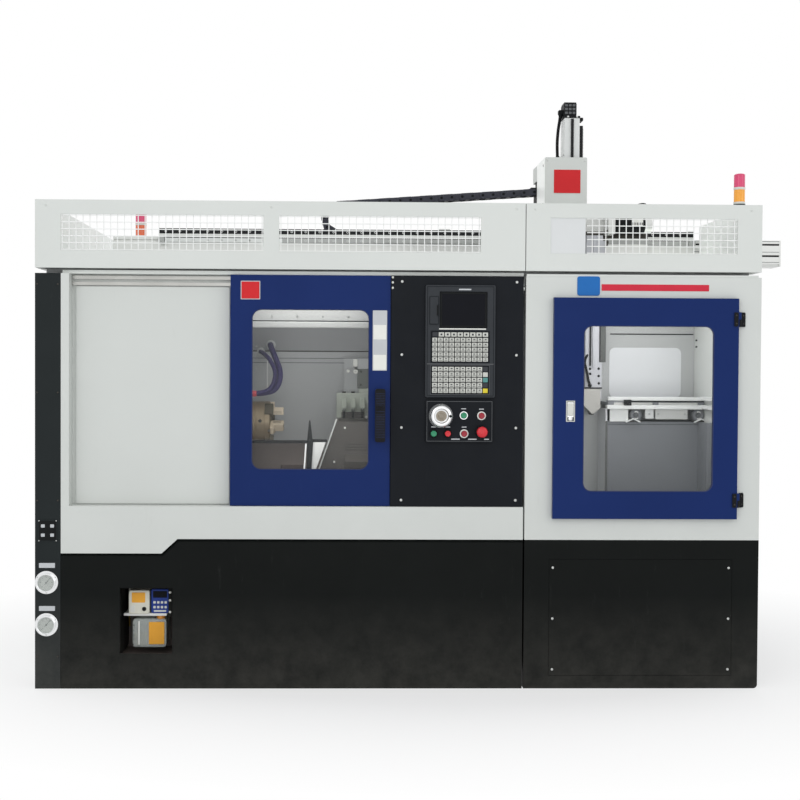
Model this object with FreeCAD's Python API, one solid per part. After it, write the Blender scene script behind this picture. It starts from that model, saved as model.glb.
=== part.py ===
import FreeCAD, Part
import math
import os

# An automated turning cell: a slant-bed lathe with a sliding door on the left, a workpiece
# stocker with a hinged door on the right, and a gantry loader that runs over both.
# Millimetres. Every shape is drawn from the machine's left front bottom corner: x runs to the
# right, depth runs back from the front covers, z runs up. The row's origin is the middle of the
# machine's footprint on the floor, so each finished shape is moved there before it is written.

os.makedirs("parts", exist_ok=True)

# ---------------------------------------------------------------- driving dimensions
MACHINE_LENGTH = 2700.0
MACHINE_DEPTH = 1500.0
OVERALL_LENGTH = 3040.0
FRONT_REACH = 45.0
ORIGIN_X = OVERALL_LENGTH / 2
ORIGIN_DEPTH = (MACHINE_DEPTH - FRONT_REACH) / 2

BODY_TOP = 1541.0
GUARD_BOTTOM = 1561.0
GUARD_TOP = 1812.0
SEAM_X = 1815.0
SEAM_GAP = 3.0
COLUMN_WIDTH = 95.0
BASE_TOP = 558.0
BASE_STEP_TOP = 504.0
BASE_STEP_START = 467.0
BASE_STEP_END = 526.0
SHEET = 3.0
COVER_FOLD = 40.0

# lathe door and its recess
RECESS_LEFT = 125.0
RECESS_BOTTOM = 680.0
RECESS_DEPTH = 60.0
DOOR_LEFT = 718.7
DOOR_RIGHT = 1313.9
DOOR_BOTTOM = 681.5
DOOR_TOP = 1540.0
DOOR_FRONT = 12.0
DOOR_THICKNESS = 30.0
DOOR_WINDOW = (798.3, 1234.5, 816.2, 1413.4)
DOOR_WINDOW_RADIUS = 35.0
DOOR_OPENING = (735.0, 1300.0, 705.0, 1488.0)
RAIL_FRONT = 48.0
RAIL_HEIGHTS = ((1500.0, 1512.0), (1523.0, 1536.0))

# operator's console
CONSOLE_LEFT = 1316.0
CONSOLE_RIGHT = 1809.0
CONSOLE_FRONT = 6.0
CONSOLE_REAR = 256.0
CONTROL_PLATE = (1446.0, 1697.0, 921.0, 1078.0)
CONTROL_FACE = -4.0
UNIT_PLATE = (1443.0, 1703.0, 1089.0, 1506.0)
UNIT_FACE = -6.0
SCREEN = (1495.0, 1673.0, 1347.0, 1482.0)
CARD_SLOT = (1457.6, 1491.0, 1360.0, 1463.0)
KEY_FIELD_X = (1467.0, 1677.0)
HANDWHEEL_CENTRE = (1502.0, 1020.0)
EMERGENCY_CENTRE = (1654.0, 961.0)
BUTTON_CENTRES = {
    "cycle_start_button": (1587.0, 1022.0),
    "feed_hold_button": (1653.5, 1021.0),
    "power_on_button": (1475.5, 954.0),
    "power_off_button": (1528.0, 954.0),
    "reset_button": (1589.0, 954.0),
}
BUTTON_RADIUS = 11.0
STEM_RADIUS = 12.0
WHEEL_SIDES = 40
BUTTON_TRAVEL = 4.0

# stocker door
GATE_LEFT = 1919.1
GATE_RIGHT = 2609.1
GATE_BOTTOM = 639.2
GATE_TOP = 1461.9
GATE_REAR = -2.0
GATE_THICKNESS = 20.0
GATE_WINDOW = (2030.0, 2517.4, 740.9, 1358.2)
GATE_WINDOW_RADIUS = 33.0
GATE_OPENING = (1942.0, 2588.0, 662.0, 1439.0)
HINGE_X = 2615.5
HINGE_DEPTH = -12.0
HINGE_BOTTOMS = (682.0, 1357.0)
HINGE_HEIGHT = 54.0
LATCH = (1969.0, 1996.0, 1004.0, 1076.0)

# guard over both cabinets
GUARD_WINDOWS = ((92.4, 841.6), (897.5, 1648.9), (1906.2, 2609.5))
GUARD_WINDOW_Z = (1624.5, 1760.0)
GUARD_THICKNESS = 50.0
MESH_PITCH = 25.4
MESH_WIRE = 3.0
MESH_DEPTH = 6.0
PALE_PLATE_END = 2052.0

# slant bed, spindle and tools
BED_FRONT = 60.0
BED_LEFT = 110.0
BED_RIGHT = 1800.0
TROUGH_Z = 500.0
SLOPE_START = 260.0
SLOPE_END = 900.0
SLOPE_ANGLE = math.radians(30.0)
SPINDLE_DEPTH = 640.0
SPINDLE_Z = 970.0
CHUCK_REAR_X = 758.0
CHUCK_FRONT_X = 838.0
CHUCK_RADIUS = 83.0
JAW_COUNT = 3
COVER_DEPTH = (470.0, 530.0)
COVER_Z = (742.0, 986.0)
TOOL_TIP_DEPTH = 712.0
END_SET_BACK = 5.0
REAR_SET_BACK = 6.0
CHAMBER_LEFT = 722.0
NOZZLE_BLOCK = 26.0
NOZZLE_STEP = 14.0
CHAMBER_RIGHT = 1318.0
REAR_WALL_DEPTH = 900.0

# loader: slot in the roof and cell walls, beam, carriage and telescopic arm
SLOT_FRONT = 540.0
SLOT_REAR = 745.0
SLOT_LEFT_X = 760.0
SLOT_RIGHT_X = 2330.0
SLOT_BOTTOM_Z = 960.0
BEAM_LEFT = 155.0
BEAM_FRONT = 728.0
BEAM_REAR = 842.0
BEAM_BOTTOM = 1646.0
BEAM_TOP = 1757.0
ARM_FRONT = 600.0
ARM_REAR = 690.0
UPPER_ARM_X = (2070.0, 2133.0)
UPPER_ARM_Z = (1500.0, 2254.0)
LOWER_ARM_X = (2166.0, 2236.0)
LOWER_ARM_Z = (1115.0, 1760.0)
SWIVEL_X = 2201.0
SWIVEL_Z = 1085.0
LOADER_COVER_X = (1981.0, 2158.0)
LOADER_COVER_Z = (1816.0, 2080.0)

# drag chain
CHAIN_PITCH = 45.0
CHAIN_HEIGHT = 34.0
PLATE_LAP = 5.5
CHAIN_DEPTH = (764.0, 826.0)
CHAIN_LOW_Z = 1786.0
CHAIN_BEND_X = 1121.0
CHAIN_BEND_RADIUS = 58.5
CHAIN_FIXED_X = 1560.0
CHAIN_END_X = 1985.0
CHAIN_END_Z = 1965.0

# signal towers: x, depth, foot, lamp's lower end, lens radius
RIGHT_TOWER = (2632.0, 60.0, 1812.0, 1819.0, 20.0)
LEFT_TOWER = (231.0, 1000.0, 1541.0, 1775.0, 23.5)

# small fittings
GAUGE_X = 43.0
GAUGE_HEIGHTS = (396.0, 239.0)
GAUGE_RADIUS = 42.0
GAUGE_SIDES = 24
BUTTON_SIDES = 16
PUMP_WINDOW = (313.0, 507.5, 131.0, 375.0)
RUNNING_GAP = 0.05


# ---------------------------------------------------------------- helpers
def block(x, depth, z):
    """Box between two values on each axis."""
    size = (x[1] - x[0], depth[1] - depth[0], z[1] - z[0])
    return Part.makeBox(size[0], size[1], size[2], FreeCAD.Vector(x[0], depth[0], z[0]))


def rod_depth(x, z, depth, radius):
    """Cylinder that runs front to back."""
    start = FreeCAD.Vector(x, depth[0], z)
    return Part.makeCylinder(radius, depth[1] - depth[0], start, FreeCAD.Vector(0, 1, 0))


def rod_x(x, depth, z, radius):
    """Cylinder that runs left to right."""
    start = FreeCAD.Vector(x[0], depth, z)
    return Part.makeCylinder(radius, x[1] - x[0], start, FreeCAD.Vector(1, 0, 0))


def rod_z(x, depth, z, radius):
    """Upright cylinder."""
    start = FreeCAD.Vector(x, depth, z[0])
    return Part.makeCylinder(radius, z[1] - z[0], start, FreeCAD.Vector(0, 0, 1))


def many_sided(radius, sides):
    """Corners of a regular outline round the origin, for small round parts that repeat."""
    step = 2 * math.pi / sides
    return [(radius * math.cos(step * i), radius * math.sin(step * i)) for i in range(sides)]


def prism_depth(x, z, depth, radius, sides=24):
    """Many-sided bar that runs front to back."""
    return plate_from_outline([(x + a, z + b) for a, b in many_sided(radius, sides)], depth)


def prism_z(x, depth, z, radius, sides=16):
    """Many-sided upright bar."""
    corners = [FreeCAD.Vector(x + a, depth + b, z[0]) for a, b in many_sided(radius, sides)]
    return Part.Face(Part.makePolygon(corners + corners[:1])).extrude(FreeCAD.Vector(0, 0, z[1] - z[0]))


def plate_from_outline(points, depth):
    """Front-view outline of (x, z) corners, extruded front to back."""
    corners = [FreeCAD.Vector(x, depth[0], z) for x, z in points]
    face = Part.Face(Part.makePolygon(corners + corners[:1]))
    return face.extrude(FreeCAD.Vector(0, depth[1] - depth[0], 0))


def bar_from_section(points, x):
    """Side-view section of (depth, z) corners, extruded left to right."""
    corners = [FreeCAD.Vector(x[0], depth, z) for depth, z in points]
    face = Part.Face(Part.makePolygon(corners + corners[:1]))
    return face.extrude(FreeCAD.Vector(x[1] - x[0], 0, 0))


def rounded_block(x, depth, z, radius):
    """Box whose four edges that run front to back are rounded."""
    shape = block(x, depth, z)
    edges = [edge for edge in shape.Edges
             if abs(edge.Vertexes[0].Point.y - edge.Vertexes[1].Point.y) > 0.5 * (depth[1] - depth[0])]
    return shape.makeFillet(radius, edges)


def fused(shapes):
    """One solid from shapes that touch or overlap."""
    whole = shapes[0].fuse(shapes[1:])
    return whole.removeSplitter()


def group(shapes):
    """Separate solids kept together as one sub-part."""
    return Part.makeCompound(shapes)


# ---------------------------------------------------------------- base and covers
def base_outline(inset):
    """Stepped front outline of the lathe's black base, drawn in from its edges."""
    left = COLUMN_WIDTH + inset
    right = SEAM_X - SEAM_GAP - inset
    low_top = BASE_STEP_TOP - inset
    high_top = BASE_TOP - inset
    return [(left, inset), (right, inset), (right, high_top), (BASE_STEP_END, high_top),
            (BASE_STEP_START, low_top), (left, low_top)]


def left_base_cover():
    """Folded front sheet with a stepped, bevelled top edge and the lubricator's window."""
    cover = plate_from_outline(base_outline(0.0), (0.0, COVER_FOLD))
    top_edges = [edge for edge in cover.Edges
                 if edge.BoundBox.YMax < 0.1 and edge.BoundBox.ZMin > BASE_STEP_TOP - 1
                 and edge.BoundBox.XLength > 1.0]
    cover = cover.makeChamfer(12.0, top_edges)
    hollow = plate_from_outline(base_outline(14.0), (SHEET, COVER_FOLD))
    cover = cover.cut(hollow)
    window = block(PUMP_WINDOW[:2], (-1.0, COVER_FOLD), PUMP_WINDOW[2:])
    return cover.cut(window)


def bed_casting():
    """Cast bed: a trough in front and a slanted bed behind, with a niche for the lubricator."""
    slope_rise = (SLOPE_END - SLOPE_START) * math.tan(SLOPE_ANGLE)
    section = [(BED_FRONT, 40.0), (1440.0, 40.0), (1440.0, TROUGH_Z + slope_rise),
               (SLOPE_END, TROUGH_Z + slope_rise), (SLOPE_START, TROUGH_Z), (BED_FRONT, TROUGH_Z)]
    bed = bar_from_section(section, (BED_LEFT, BED_RIGHT))
    niche = block((290.0, 530.0), (BED_FRONT - 1, 210.0), (110.0, 395.0))
    bed = bed.cut(niche)
    feet = []
    for x in (260.0, 1650.0):
        for depth in (180.0, 1320.0):
            feet.append(prism_z(x, depth, (0.0, 15.0), 60.0))
            feet.append(prism_z(x, depth, (15.0, 42.0), 20.0, 6))
    rails = []
    for along in (120.0, 520.0):
        depth = SLOPE_START + along * math.cos(SLOPE_ANGLE)
        z = TROUGH_Z + along * math.sin(SLOPE_ANGLE)
        rail = block((880.0, 1312.0), (0.0, 34.0), (-6.0, 22.0))
        rail.rotate(FreeCAD.Vector(0, 0, 0), FreeCAD.Vector(1, 0, 0), math.degrees(SLOPE_ANGLE))
        rail.translate(FreeCAD.Vector(0, depth, z))
        rails.append(rail)
    return fused([bed] + feet + rails)


def right_base_cover():
    """Base cabinet of the stocker with a shallow recess for its access panel."""
    cabinet = block((SEAM_X + SEAM_GAP, MACHINE_LENGTH), (0.0, MACHINE_DEPTH - 4), (0.0, BASE_TOP))
    corner = [edge for edge in cabinet.Edges
              if edge.BoundBox.XMin > MACHINE_LENGTH - 1 and edge.BoundBox.ZMax < 1]
    cabinet = cabinet.makeFillet(15.0, corner)
    recess = block((1911.0, 2601.0), (-1.0, 2.0), (48.0, 486.0))
    return cabinet.cut(recess)


def base_access_panel():
    """Plain sheet that closes the recess."""
    return block((1912.5, 2599.5), (-0.5, 2.0), (49.5, 484.5))


def left_column_cover():
    """Tall black cover at the left corner that holds the two gauges."""
    column = block((0.0, COLUMN_WIDTH - 1), (0.0, 150.0), (0.0, BODY_TOP))
    hollow = block((SHEET, COLUMN_WIDTH - 1 - SHEET), (SHEET, 150.0), (SHEET, BODY_TOP - SHEET))
    column = column.cut(hollow)
    for z in GAUGE_HEIGHTS:
        column = column.cut(prism_depth(GAUGE_X, z, (-1.0, 10.0), 30.2, GAUGE_SIDES))
    plate = block((12.0, 82.0), (-2.0, 0.0), (548.0, 628.0))
    return fused([column, plate])


def gauge_cases():
    """Two pressure gauges: flange, rim and case, open in front down to the dial."""
    cases = []
    for z in GAUGE_HEIGHTS:
        flange = prism_depth(GAUGE_X, z, (-4.0, 0.0), GAUGE_RADIUS, GAUGE_SIDES)
        rim = prism_depth(GAUGE_X, z, (-14.0, -4.0), 33.0, GAUGE_SIDES)
        case = prism_depth(GAUGE_X, z, (0.0, 28.0), 29.5, GAUGE_SIDES)
        stem = prism_depth(GAUGE_X, z, (28.0, 50.0), 8.0, 6)
        bowl = prism_depth(GAUGE_X, z, (-14.0, -3.0), 30.0, GAUGE_SIDES)
        spindle = prism_depth(GAUGE_X, z, (-6.0, -3.0), 1.5, 8)
        cases.append(fused([flange, rim, case, stem]).cut(bowl).fuse(spindle))
    return group(cases)


def gauge_needle(z):
    """Needle with a round hub on the gauge's spindle."""
    hub = rod_depth(GAUGE_X, z, (-8.0, -6.2), 4.0)
    pointer = block((GAUGE_X - 1.2, GAUGE_X + 1.2), (-8.0, -6.8), (z - 9.0, z + 24.0))
    needle = fused([hub, pointer])
    centre = FreeCAD.Vector(GAUGE_X, 0.0, z)
    needle.rotate(centre, FreeCAD.Vector(0, 1, 0), 40.0)
    return needle


def lathe_front_cover():
    """White folded front: the post beside the recess and the apron under it."""
    right = SEAM_X - SEAM_GAP
    outline = [(COLUMN_WIDTH, BASE_STEP_TOP), (BASE_STEP_START, BASE_STEP_TOP),
               (BASE_STEP_END, BASE_TOP), (right, BASE_TOP), (right, RECESS_BOTTOM),
               (RECESS_LEFT, RECESS_BOTTOM), (RECESS_LEFT, BODY_TOP), (COLUMN_WIDTH, BODY_TOP)]
    cover = plate_from_outline(outline, (0.0, RECESS_DEPTH))
    apron = [(COLUMN_WIDTH + SHEET, BASE_STEP_TOP + SHEET),
             (BASE_STEP_START - SHEET, BASE_STEP_TOP + SHEET),
             (BASE_STEP_END - SHEET, BASE_TOP + SHEET), (right - SHEET, BASE_TOP + SHEET),
             (right - SHEET, RECESS_BOTTOM - SHEET), (COLUMN_WIDTH + SHEET, RECESS_BOTTOM - SHEET)]
    cover = cover.cut(plate_from_outline(apron, (SHEET, RECESS_DEPTH)))
    post = block((COLUMN_WIDTH + SHEET, RECESS_LEFT - SHEET), (SHEET, RECESS_DEPTH),
                 (RECESS_BOTTOM - SHEET, BODY_TOP - SHEET))
    return cover.cut(post)


def fixed_front_panel():
    """Back sheet of the recess; its right half is open into the work chamber."""
    panel = block((RECESS_LEFT, CONSOLE_LEFT - 1), (RECESS_DEPTH, RECESS_DEPTH + SHEET),
                  (RECESS_BOTTOM, BODY_TOP))
    opening = block(DOOR_OPENING[:2], (0.0, 100.0), DOOR_OPENING[2:])
    sheet = panel.cut(opening)
    raised = rounded_block((141.0, 712.0), (RECESS_DEPTH - 8, RECESS_DEPTH), (684.0, 1496.0), 6.0)
    return fused([sheet, raised])


def door_rails():
    """Two bright rails that carry the sliding door, and its floor guide."""
    bars = []
    for bottom, top in RAIL_HEIGHTS:
        bars.append(block((RECESS_LEFT + 1, CONSOLE_LEFT - 2), (RAIL_FRONT, RECESS_DEPTH), (bottom, top)))
    return group(bars)


def end_and_rear_covers():
    """Folded panels that close the left end, the right end and the back."""
    left = block((END_SET_BACK, 40.0), (150.0, 1460.0), (0.0, BODY_TOP))
    rear_left = block((END_SET_BACK, SEAM_X - SEAM_GAP), (1460.0, MACHINE_DEPTH - REAR_SET_BACK),
                      (0.0, BODY_TOP))
    right = block((MACHINE_LENGTH - 40, MACHINE_LENGTH), (COVER_FOLD, 1460.0), (BASE_TOP, BODY_TOP))
    rear_right = block((SEAM_X + SEAM_GAP, MACHINE_LENGTH), (1460.0, MACHINE_DEPTH - 2 * REAR_SET_BACK),
                       (BASE_TOP, BODY_TOP))
    return group([left, rear_left, right, rear_right])


def chamber_walls():
    """Inner sheets of the work chamber and the stocker, with the loader's way between them."""
    slope_top = TROUGH_Z + (SLOPE_END - SLOPE_START) * math.tan(SLOPE_ANGLE)
    rear = block((CHAMBER_LEFT, CHAMBER_RIGHT), (REAR_WALL_DEPTH, REAR_WALL_DEPTH + 6),
                 (slope_top, BODY_TOP - 6))
    left = bar_from_section([(RECESS_DEPTH + SHEET, TROUGH_Z), (SLOPE_START, TROUGH_Z),
                             (SLOPE_END, slope_top), (SLOPE_END, BODY_TOP - 6),
                             (RECESS_DEPTH + SHEET, BODY_TOP - 6)], (CHAMBER_LEFT - 6, CHAMBER_LEFT))
    left = left.cut(rod_x((CHAMBER_LEFT - 7, CHAMBER_LEFT + 1), SPINDLE_DEPTH, SPINDLE_Z, 70.0))
    right = bar_from_section([(CONSOLE_REAR + 1, TROUGH_Z), (SLOPE_START, TROUGH_Z),
                              (SLOPE_END, slope_top), (SLOPE_END, BODY_TOP - 6),
                              (CONSOLE_REAR + 1, BODY_TOP - 6)], (CHAMBER_RIGHT, CHAMBER_RIGHT + 6))
    way = block((0.0, MACHINE_LENGTH), (SLOT_FRONT, SLOT_REAR), (SLOT_BOTTOM_Z, BODY_TOP))
    seam = block((SEAM_X - 6, SEAM_X + 1), (COVER_FOLD + 20, 1459.0), (BASE_TOP, BODY_TOP - 6))
    back = block((SEAM_X + 2, MACHINE_LENGTH - 41), (1000.0, 1006.0), (BASE_TOP, BODY_TOP - 6))
    pane_hole = rounded_block((2352.0, 2640.0), (999.0, 1007.0), (1060.0, 1300.0), 24.0)
    pane = rounded_block((2352.0, 2640.0), (1001.0, 1005.0), (1060.0, 1300.0), 24.0)
    slit = block((2362.0, 2640.0), (999.0, 1002.0), (1352.0, 1358.0))
    nozzle_end = CHAMBER_LEFT + NOZZLE_BLOCK
    nozzle = fused([block((CHAMBER_LEFT - 1, nozzle_end), (572.0, 606.0), (1078.0, 1110.0)),
                    block((CHAMBER_LEFT - 1, nozzle_end - NOZZLE_STEP), (540.0, 572.0), (1078.0, 1110.0))])
    back = back.cut(pane_hole).cut(slit)
    return group([rear, fused([left, nozzle]), right.cut(way), seam.cut(way), back, pane])


def roof_panels():
    """Roof sheets of both cabinets with the slot that the loader's arm runs in."""
    bottom = BODY_TOP - 6
    slot = block((SLOT_LEFT_X, SLOT_RIGHT_X), (SLOT_FRONT, SLOT_REAR), (0.0, GUARD_TOP))
    lathe = block((40.0, SEAM_X), (RECESS_DEPTH + SHEET, 1460.0), (bottom, BODY_TOP)).cut(slot)
    corner = block((0.0, COLUMN_WIDTH), (0.0, 150.5), (0.0, GUARD_TOP))
    console = block((CONSOLE_LEFT - 1, SEAM_X + 1), (0.0, CONSOLE_REAR + 1), (0.0, GUARD_TOP))
    lathe = lathe.cut(corner).cut(console)
    stocker = block((SEAM_X + 1, MACHINE_LENGTH - 40), (COVER_FOLD, 1460.0), (bottom, BODY_TOP)).cut(slot)
    return group([lathe, stocker])


def stocker_front_cover():
    """White front of the stocker: a folded sheet around the doorway."""
    left = SEAM_X + SEAM_GAP
    cover = block((left, MACHINE_LENGTH), (0.0, COVER_FOLD), (BASE_TOP, BODY_TOP))
    hollow = block((left + SHEET, MACHINE_LENGTH - SHEET), (SHEET, COVER_FOLD),
                   (BASE_TOP + SHEET, BODY_TOP - SHEET))
    x0, x1, z0, z1 = GATE_OPENING
    return_fold = block((x0 - SHEET, x1 + SHEET), (0.0, COVER_FOLD), (z0 - SHEET, z1 + SHEET))
    doorway = block((x0, x1), (-1.0, COVER_FOLD + 1), (z0, z1))
    return fused([cover.cut(hollow), return_fold]).cut(doorway)


# ---------------------------------------------------------------- guard over the cabinets
def neck_rails():
    """Set-back grey rails between the cabinets and the guard."""
    z = (BODY_TOP, GUARD_BOTTOM)
    front = block((27.0, 2673.0), (66.0, 96.0), z)
    rear = block((27.0, 2673.0), (1410.0, 1440.0), z)
    left = block((27.0, 57.0), (96.0, 1410.0), z)
    right = block((2643.0, 2673.0), (96.0, 1410.0), z)
    return group([front, rear, left, right])


def guard_fronts():
    """Two front panels of the guard, folded to a box edge, with three windows."""
    panels = []
    spans = ((0.0, SEAM_X - 1.5), (SEAM_X + 1.5, MACHINE_LENGTH))
    for left, right in spans:
        panel = block((left, right), (0.0, 100.0), (GUARD_BOTTOM, GUARD_TOP))
        hollow = block((left + SHEET, right - SHEET), (SHEET, 100.0),
                       (GUARD_BOTTOM + SHEET, GUARD_TOP - SHEET))
        top_cut = block((left + SHEET, right - SHEET), (GUARD_THICKNESS, 100.0),
                        (GUARD_TOP - SHEET - 1, GUARD_TOP + 1))
        panel = panel.cut(hollow).cut(top_cut)
        for x0, x1 in GUARD_WINDOWS:
            if x0 > left and x1 < right:
                panel = panel.cut(block((x0, x1), (-1.0, SHEET + 1), GUARD_WINDOW_Z))
        panels.append(panel)
    return group(panels)


def guard_ends():
    """End panels and the low rear rail of the guard; the right end is notched for the beam."""
    z = (GUARD_BOTTOM, GUARD_TOP)
    flange_z = (GUARD_BOTTOM, GUARD_BOTTOM + SHEET)
    left = fused([block((0.0, 25.0), (100.0, MACHINE_DEPTH), z),
                  block((25.0, 60.0), (100.0, MACHINE_DEPTH - 25), flange_z)])
    right = fused([block((MACHINE_LENGTH - 25, MACHINE_LENGTH), (100.0, MACHINE_DEPTH), z),
                   block((MACHINE_LENGTH - 60, MACHINE_LENGTH - 25), (100.0, MACHINE_DEPTH - 25), flange_z)])
    notch = block((2600.0, 2800.0), (700.0, 870.0), (1625.0, 1830.0))
    rear = block((25.0, MACHINE_LENGTH - 25), (MACHINE_DEPTH - 25, MACHINE_DEPTH),
                 (GUARD_BOTTOM, GUARD_BOTTOM + 40))
    return group([left, right.cut(notch), rear])


def guard_mesh():
    """Welded wire behind the three windows."""
    low, high = GUARD_WINDOW_Z
    wires = []
    for x0, x1 in GUARD_WINDOWS:
        start = PALE_PLATE_END if x1 > 2600 else x0
        columns = int((x1 - start) // MESH_PITCH)
        first = start + (x1 - start - columns * MESH_PITCH) / 2
        for index in range(columns + 1):
            x = first + index * MESH_PITCH
            wires.append(block((x - MESH_WIRE / 2, x + MESH_WIRE / 2), (MESH_DEPTH, MESH_DEPTH + MESH_WIRE),
                               (low - 8, high + 8)))
        rows = int((high - low) // MESH_PITCH)
        bottom = low + (high - low - rows * MESH_PITCH) / 2
        for index in range(rows + 1):
            z = bottom + index * MESH_PITCH
            wires.append(block((start - 8, x1 + 8), (MESH_DEPTH - MESH_WIRE, MESH_DEPTH),
                               (z - MESH_WIRE / 2, z + MESH_WIRE / 2)))
    return group(wires)


def guard_pale_plate():
    """Plain frosted plate that closes the left fifth of the third window."""
    low, high = GUARD_WINDOW_Z
    return block((GUARD_WINDOWS[2][0] - 8, PALE_PLATE_END - 14), (SHEET, SHEET + 3), (low - 8, high + 8))


def signal_towers():
    """Two stacked lamps on posts, one at the guard's right end and one behind the beam on the left."""
    towers = []
    for x, depth, foot, lamp_bottom, radius in (RIGHT_TOWER, LEFT_TOWER):
        base = prism_z(x, depth, (lamp_bottom, lamp_bottom + 9), radius + 1)
        lower = prism_z(x, depth, (lamp_bottom + 9, lamp_bottom + 56), radius)
        middle = prism_z(x, depth, (lamp_bottom + 56, lamp_bottom + 62), radius - 2)
        upper = prism_z(x, depth, (lamp_bottom + 62, lamp_bottom + 109), radius)
        if foot == GUARD_TOP:
            bracket = block((x - 20, x + 20), (SHEET, 80.0), (foot - SHEET - 4, foot - SHEET))
        else:
            bracket = block((x - 28, x + 28), (depth - 28, depth + 28), (foot, foot + 4))
        post = prism_z(x, depth, (bracket.BoundBox.ZMax - 1, lamp_bottom), 9.0, 10)
        towers.append(fused([bracket, post, base, lower, middle, upper]))
    return group(towers)


# ---------------------------------------------------------------- operator's console
def operator_console():
    """Console box, its lower control plate, the button collars and the handwheel's ring."""
    box = block((CONSOLE_LEFT, CONSOLE_RIGHT), (CONSOLE_FRONT, CONSOLE_REAR), (RECESS_BOTTOM + 1, BODY_TOP))
    x0, x1, z0, z1 = CONTROL_PLATE
    plate = rounded_block((x0, x1), (CONTROL_FACE, CONSOLE_FRONT), (z0, z1), 8.0)
    shapes = [box, plate]
    for x, z in BUTTON_CENTRES.values():
        shapes.append(prism_depth(x, z, (CONTROL_FACE - 5, CONTROL_FACE), 15.5, BUTTON_SIDES))
    x, z = EMERGENCY_CENTRE
    shapes.append(prism_depth(x, z, (CONTROL_FACE - 8, CONTROL_FACE), 22.0))
    wheel_x, wheel_z = HANDWHEEL_CENTRE
    shapes.append(prism_depth(wheel_x, wheel_z, (CONTROL_FACE - 4, CONTROL_FACE), 44.0, WHEEL_SIDES))
    console = fused(shapes)
    for bx, bz in BUTTON_CENTRES.values():
        console = console.cut(prism_depth(bx, bz, (-20.0, 20.0), BUTTON_RADIUS + 0.5, BUTTON_SIDES))
    console = console.cut(prism_depth(x, z, (-20.0, 20.0), STEM_RADIUS + 0.5))
    return console.cut(rod_depth(wheel_x, wheel_z, (-20.0, 12.0), 6.0 + RUNNING_GAP))


def control_unit():
    """Control unit's face: bezel, screen pane, soft keys, typing keys and machine keys."""
    x0, x1, z0, z1 = UNIT_PLATE
    bezel = rounded_block((x0, x1), (UNIT_FACE, CONSOLE_FRONT), (z0, z1), 6.0)
    screen_recess = block(SCREEN[:2], (UNIT_FACE - 1, UNIT_FACE + 5), SCREEN[2:])
    card_recess = block((CARD_SLOT[0] + 2, CARD_SLOT[1] - 2), (UNIT_FACE - 1, UNIT_FACE + 8),
                        (CARD_SLOT[2] + 2, CARD_SLOT[3] - 2))
    bezel = bezel.cut(screen_recess).cut(card_recess)
    pane = block((SCREEN[0] + 1, SCREEN[1] - 1), (UNIT_FACE + 2, UNIT_FACE + 5),
                 (SCREEN[2] + 1, SCREEN[3] - 1))
    solids = [bezel, pane]
    left, right = KEY_FIELD_X
    fields = ((9, 1, 1313.0, 1332.0), (10, 5, 1221.0, 1312.0), (10, 5, 1104.0, 1204.0))
    for columns, rows, bottom, top in fields:
        pitch_x = (right - left) / columns
        pitch_z = (top - bottom) / rows
        for column in range(columns):
            for row in range(rows):
                x = left + column * pitch_x
                z = bottom + row * pitch_z
                solids.append(block((x + 1.5, x + pitch_x - 1.5), (UNIT_FACE - 2.5, UNIT_FACE),
                                    (z + 1.5, z + pitch_z - 1.5)))
    return group(solids)


def card_slot_cover():
    """Small flap over the memory-card slot, with its hinge bead and a pull lip."""
    x0, x1, z0, z1 = CARD_SLOT
    flap = block((x0, x1), (UNIT_FACE - 3.4, UNIT_FACE - 0.8), (z0, z1))
    lip = block((x1 - 4, x1), (UNIT_FACE - 6.0, UNIT_FACE - 3.4), (z0 + 30, z1 - 30))
    bead = rod_z(x0 + 1.3, UNIT_FACE - 2.1, (z0, z1), 1.3)
    return fused([flap.cut(block((x0 - 1, x0 + 1.3), (-20.0, 0.0), (z0 - 1, z1 + 1))), lip, bead])


def push_button(x, z):
    """Round plunger that slides in its collar."""
    cap = prism_depth(x, z, (CONTROL_FACE - 12, CONTROL_FACE + 8), BUTTON_RADIUS, BUTTON_SIDES)
    rim = [edge for edge in cap.Edges if edge.BoundBox.YMax < CONTROL_FACE - 11.9]
    return cap.makeChamfer(1.2, rim)


def emergency_stop():
    """Mushroom head on its stem."""
    x, z = EMERGENCY_CENTRE
    head = prism_depth(x, z, (CONTROL_FACE - 32, CONTROL_FACE - 18), 20.5)
    front_rim = [edge for edge in head.Edges if edge.BoundBox.YMax < CONTROL_FACE - 31.9]
    head = head.makeChamfer(5.0, front_rim)
    stem = prism_depth(x, z, (CONTROL_FACE - 18, CONTROL_FACE + 8), STEM_RADIUS)
    return fused([head, stem])


def handwheel():
    """Pulse handwheel: rim, dished face, hub and shaft, with a finger hollow off the centre."""
    x, z = HANDWHEEL_CENTRE
    rim = prism_depth(x, z, (CONTROL_FACE - 34, CONTROL_FACE - 4.5), 40.0, WHEEL_SIDES)
    front_rim = [edge for edge in rim.Edges if edge.BoundBox.YMax < CONTROL_FACE - 33.9]
    rim = rim.makeChamfer(4.0, front_rim)
    dish = prism_depth(x, z, (CONTROL_FACE - 35, CONTROL_FACE - 26), 25.0, WHEEL_SIDES)
    hub = prism_depth(x, z, (CONTROL_FACE - 30, CONTROL_FACE - 20), 11.0)
    shaft = rod_depth(x, z, (CONTROL_FACE - 5, CONSOLE_FRONT), 6.0)
    hollow = prism_depth(x + 32.5, z, (CONTROL_FACE - 35, CONTROL_FACE - 28), 5.0, 12)
    return fused([rim.cut(dish), hub, shaft]).cut(hollow)


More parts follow.
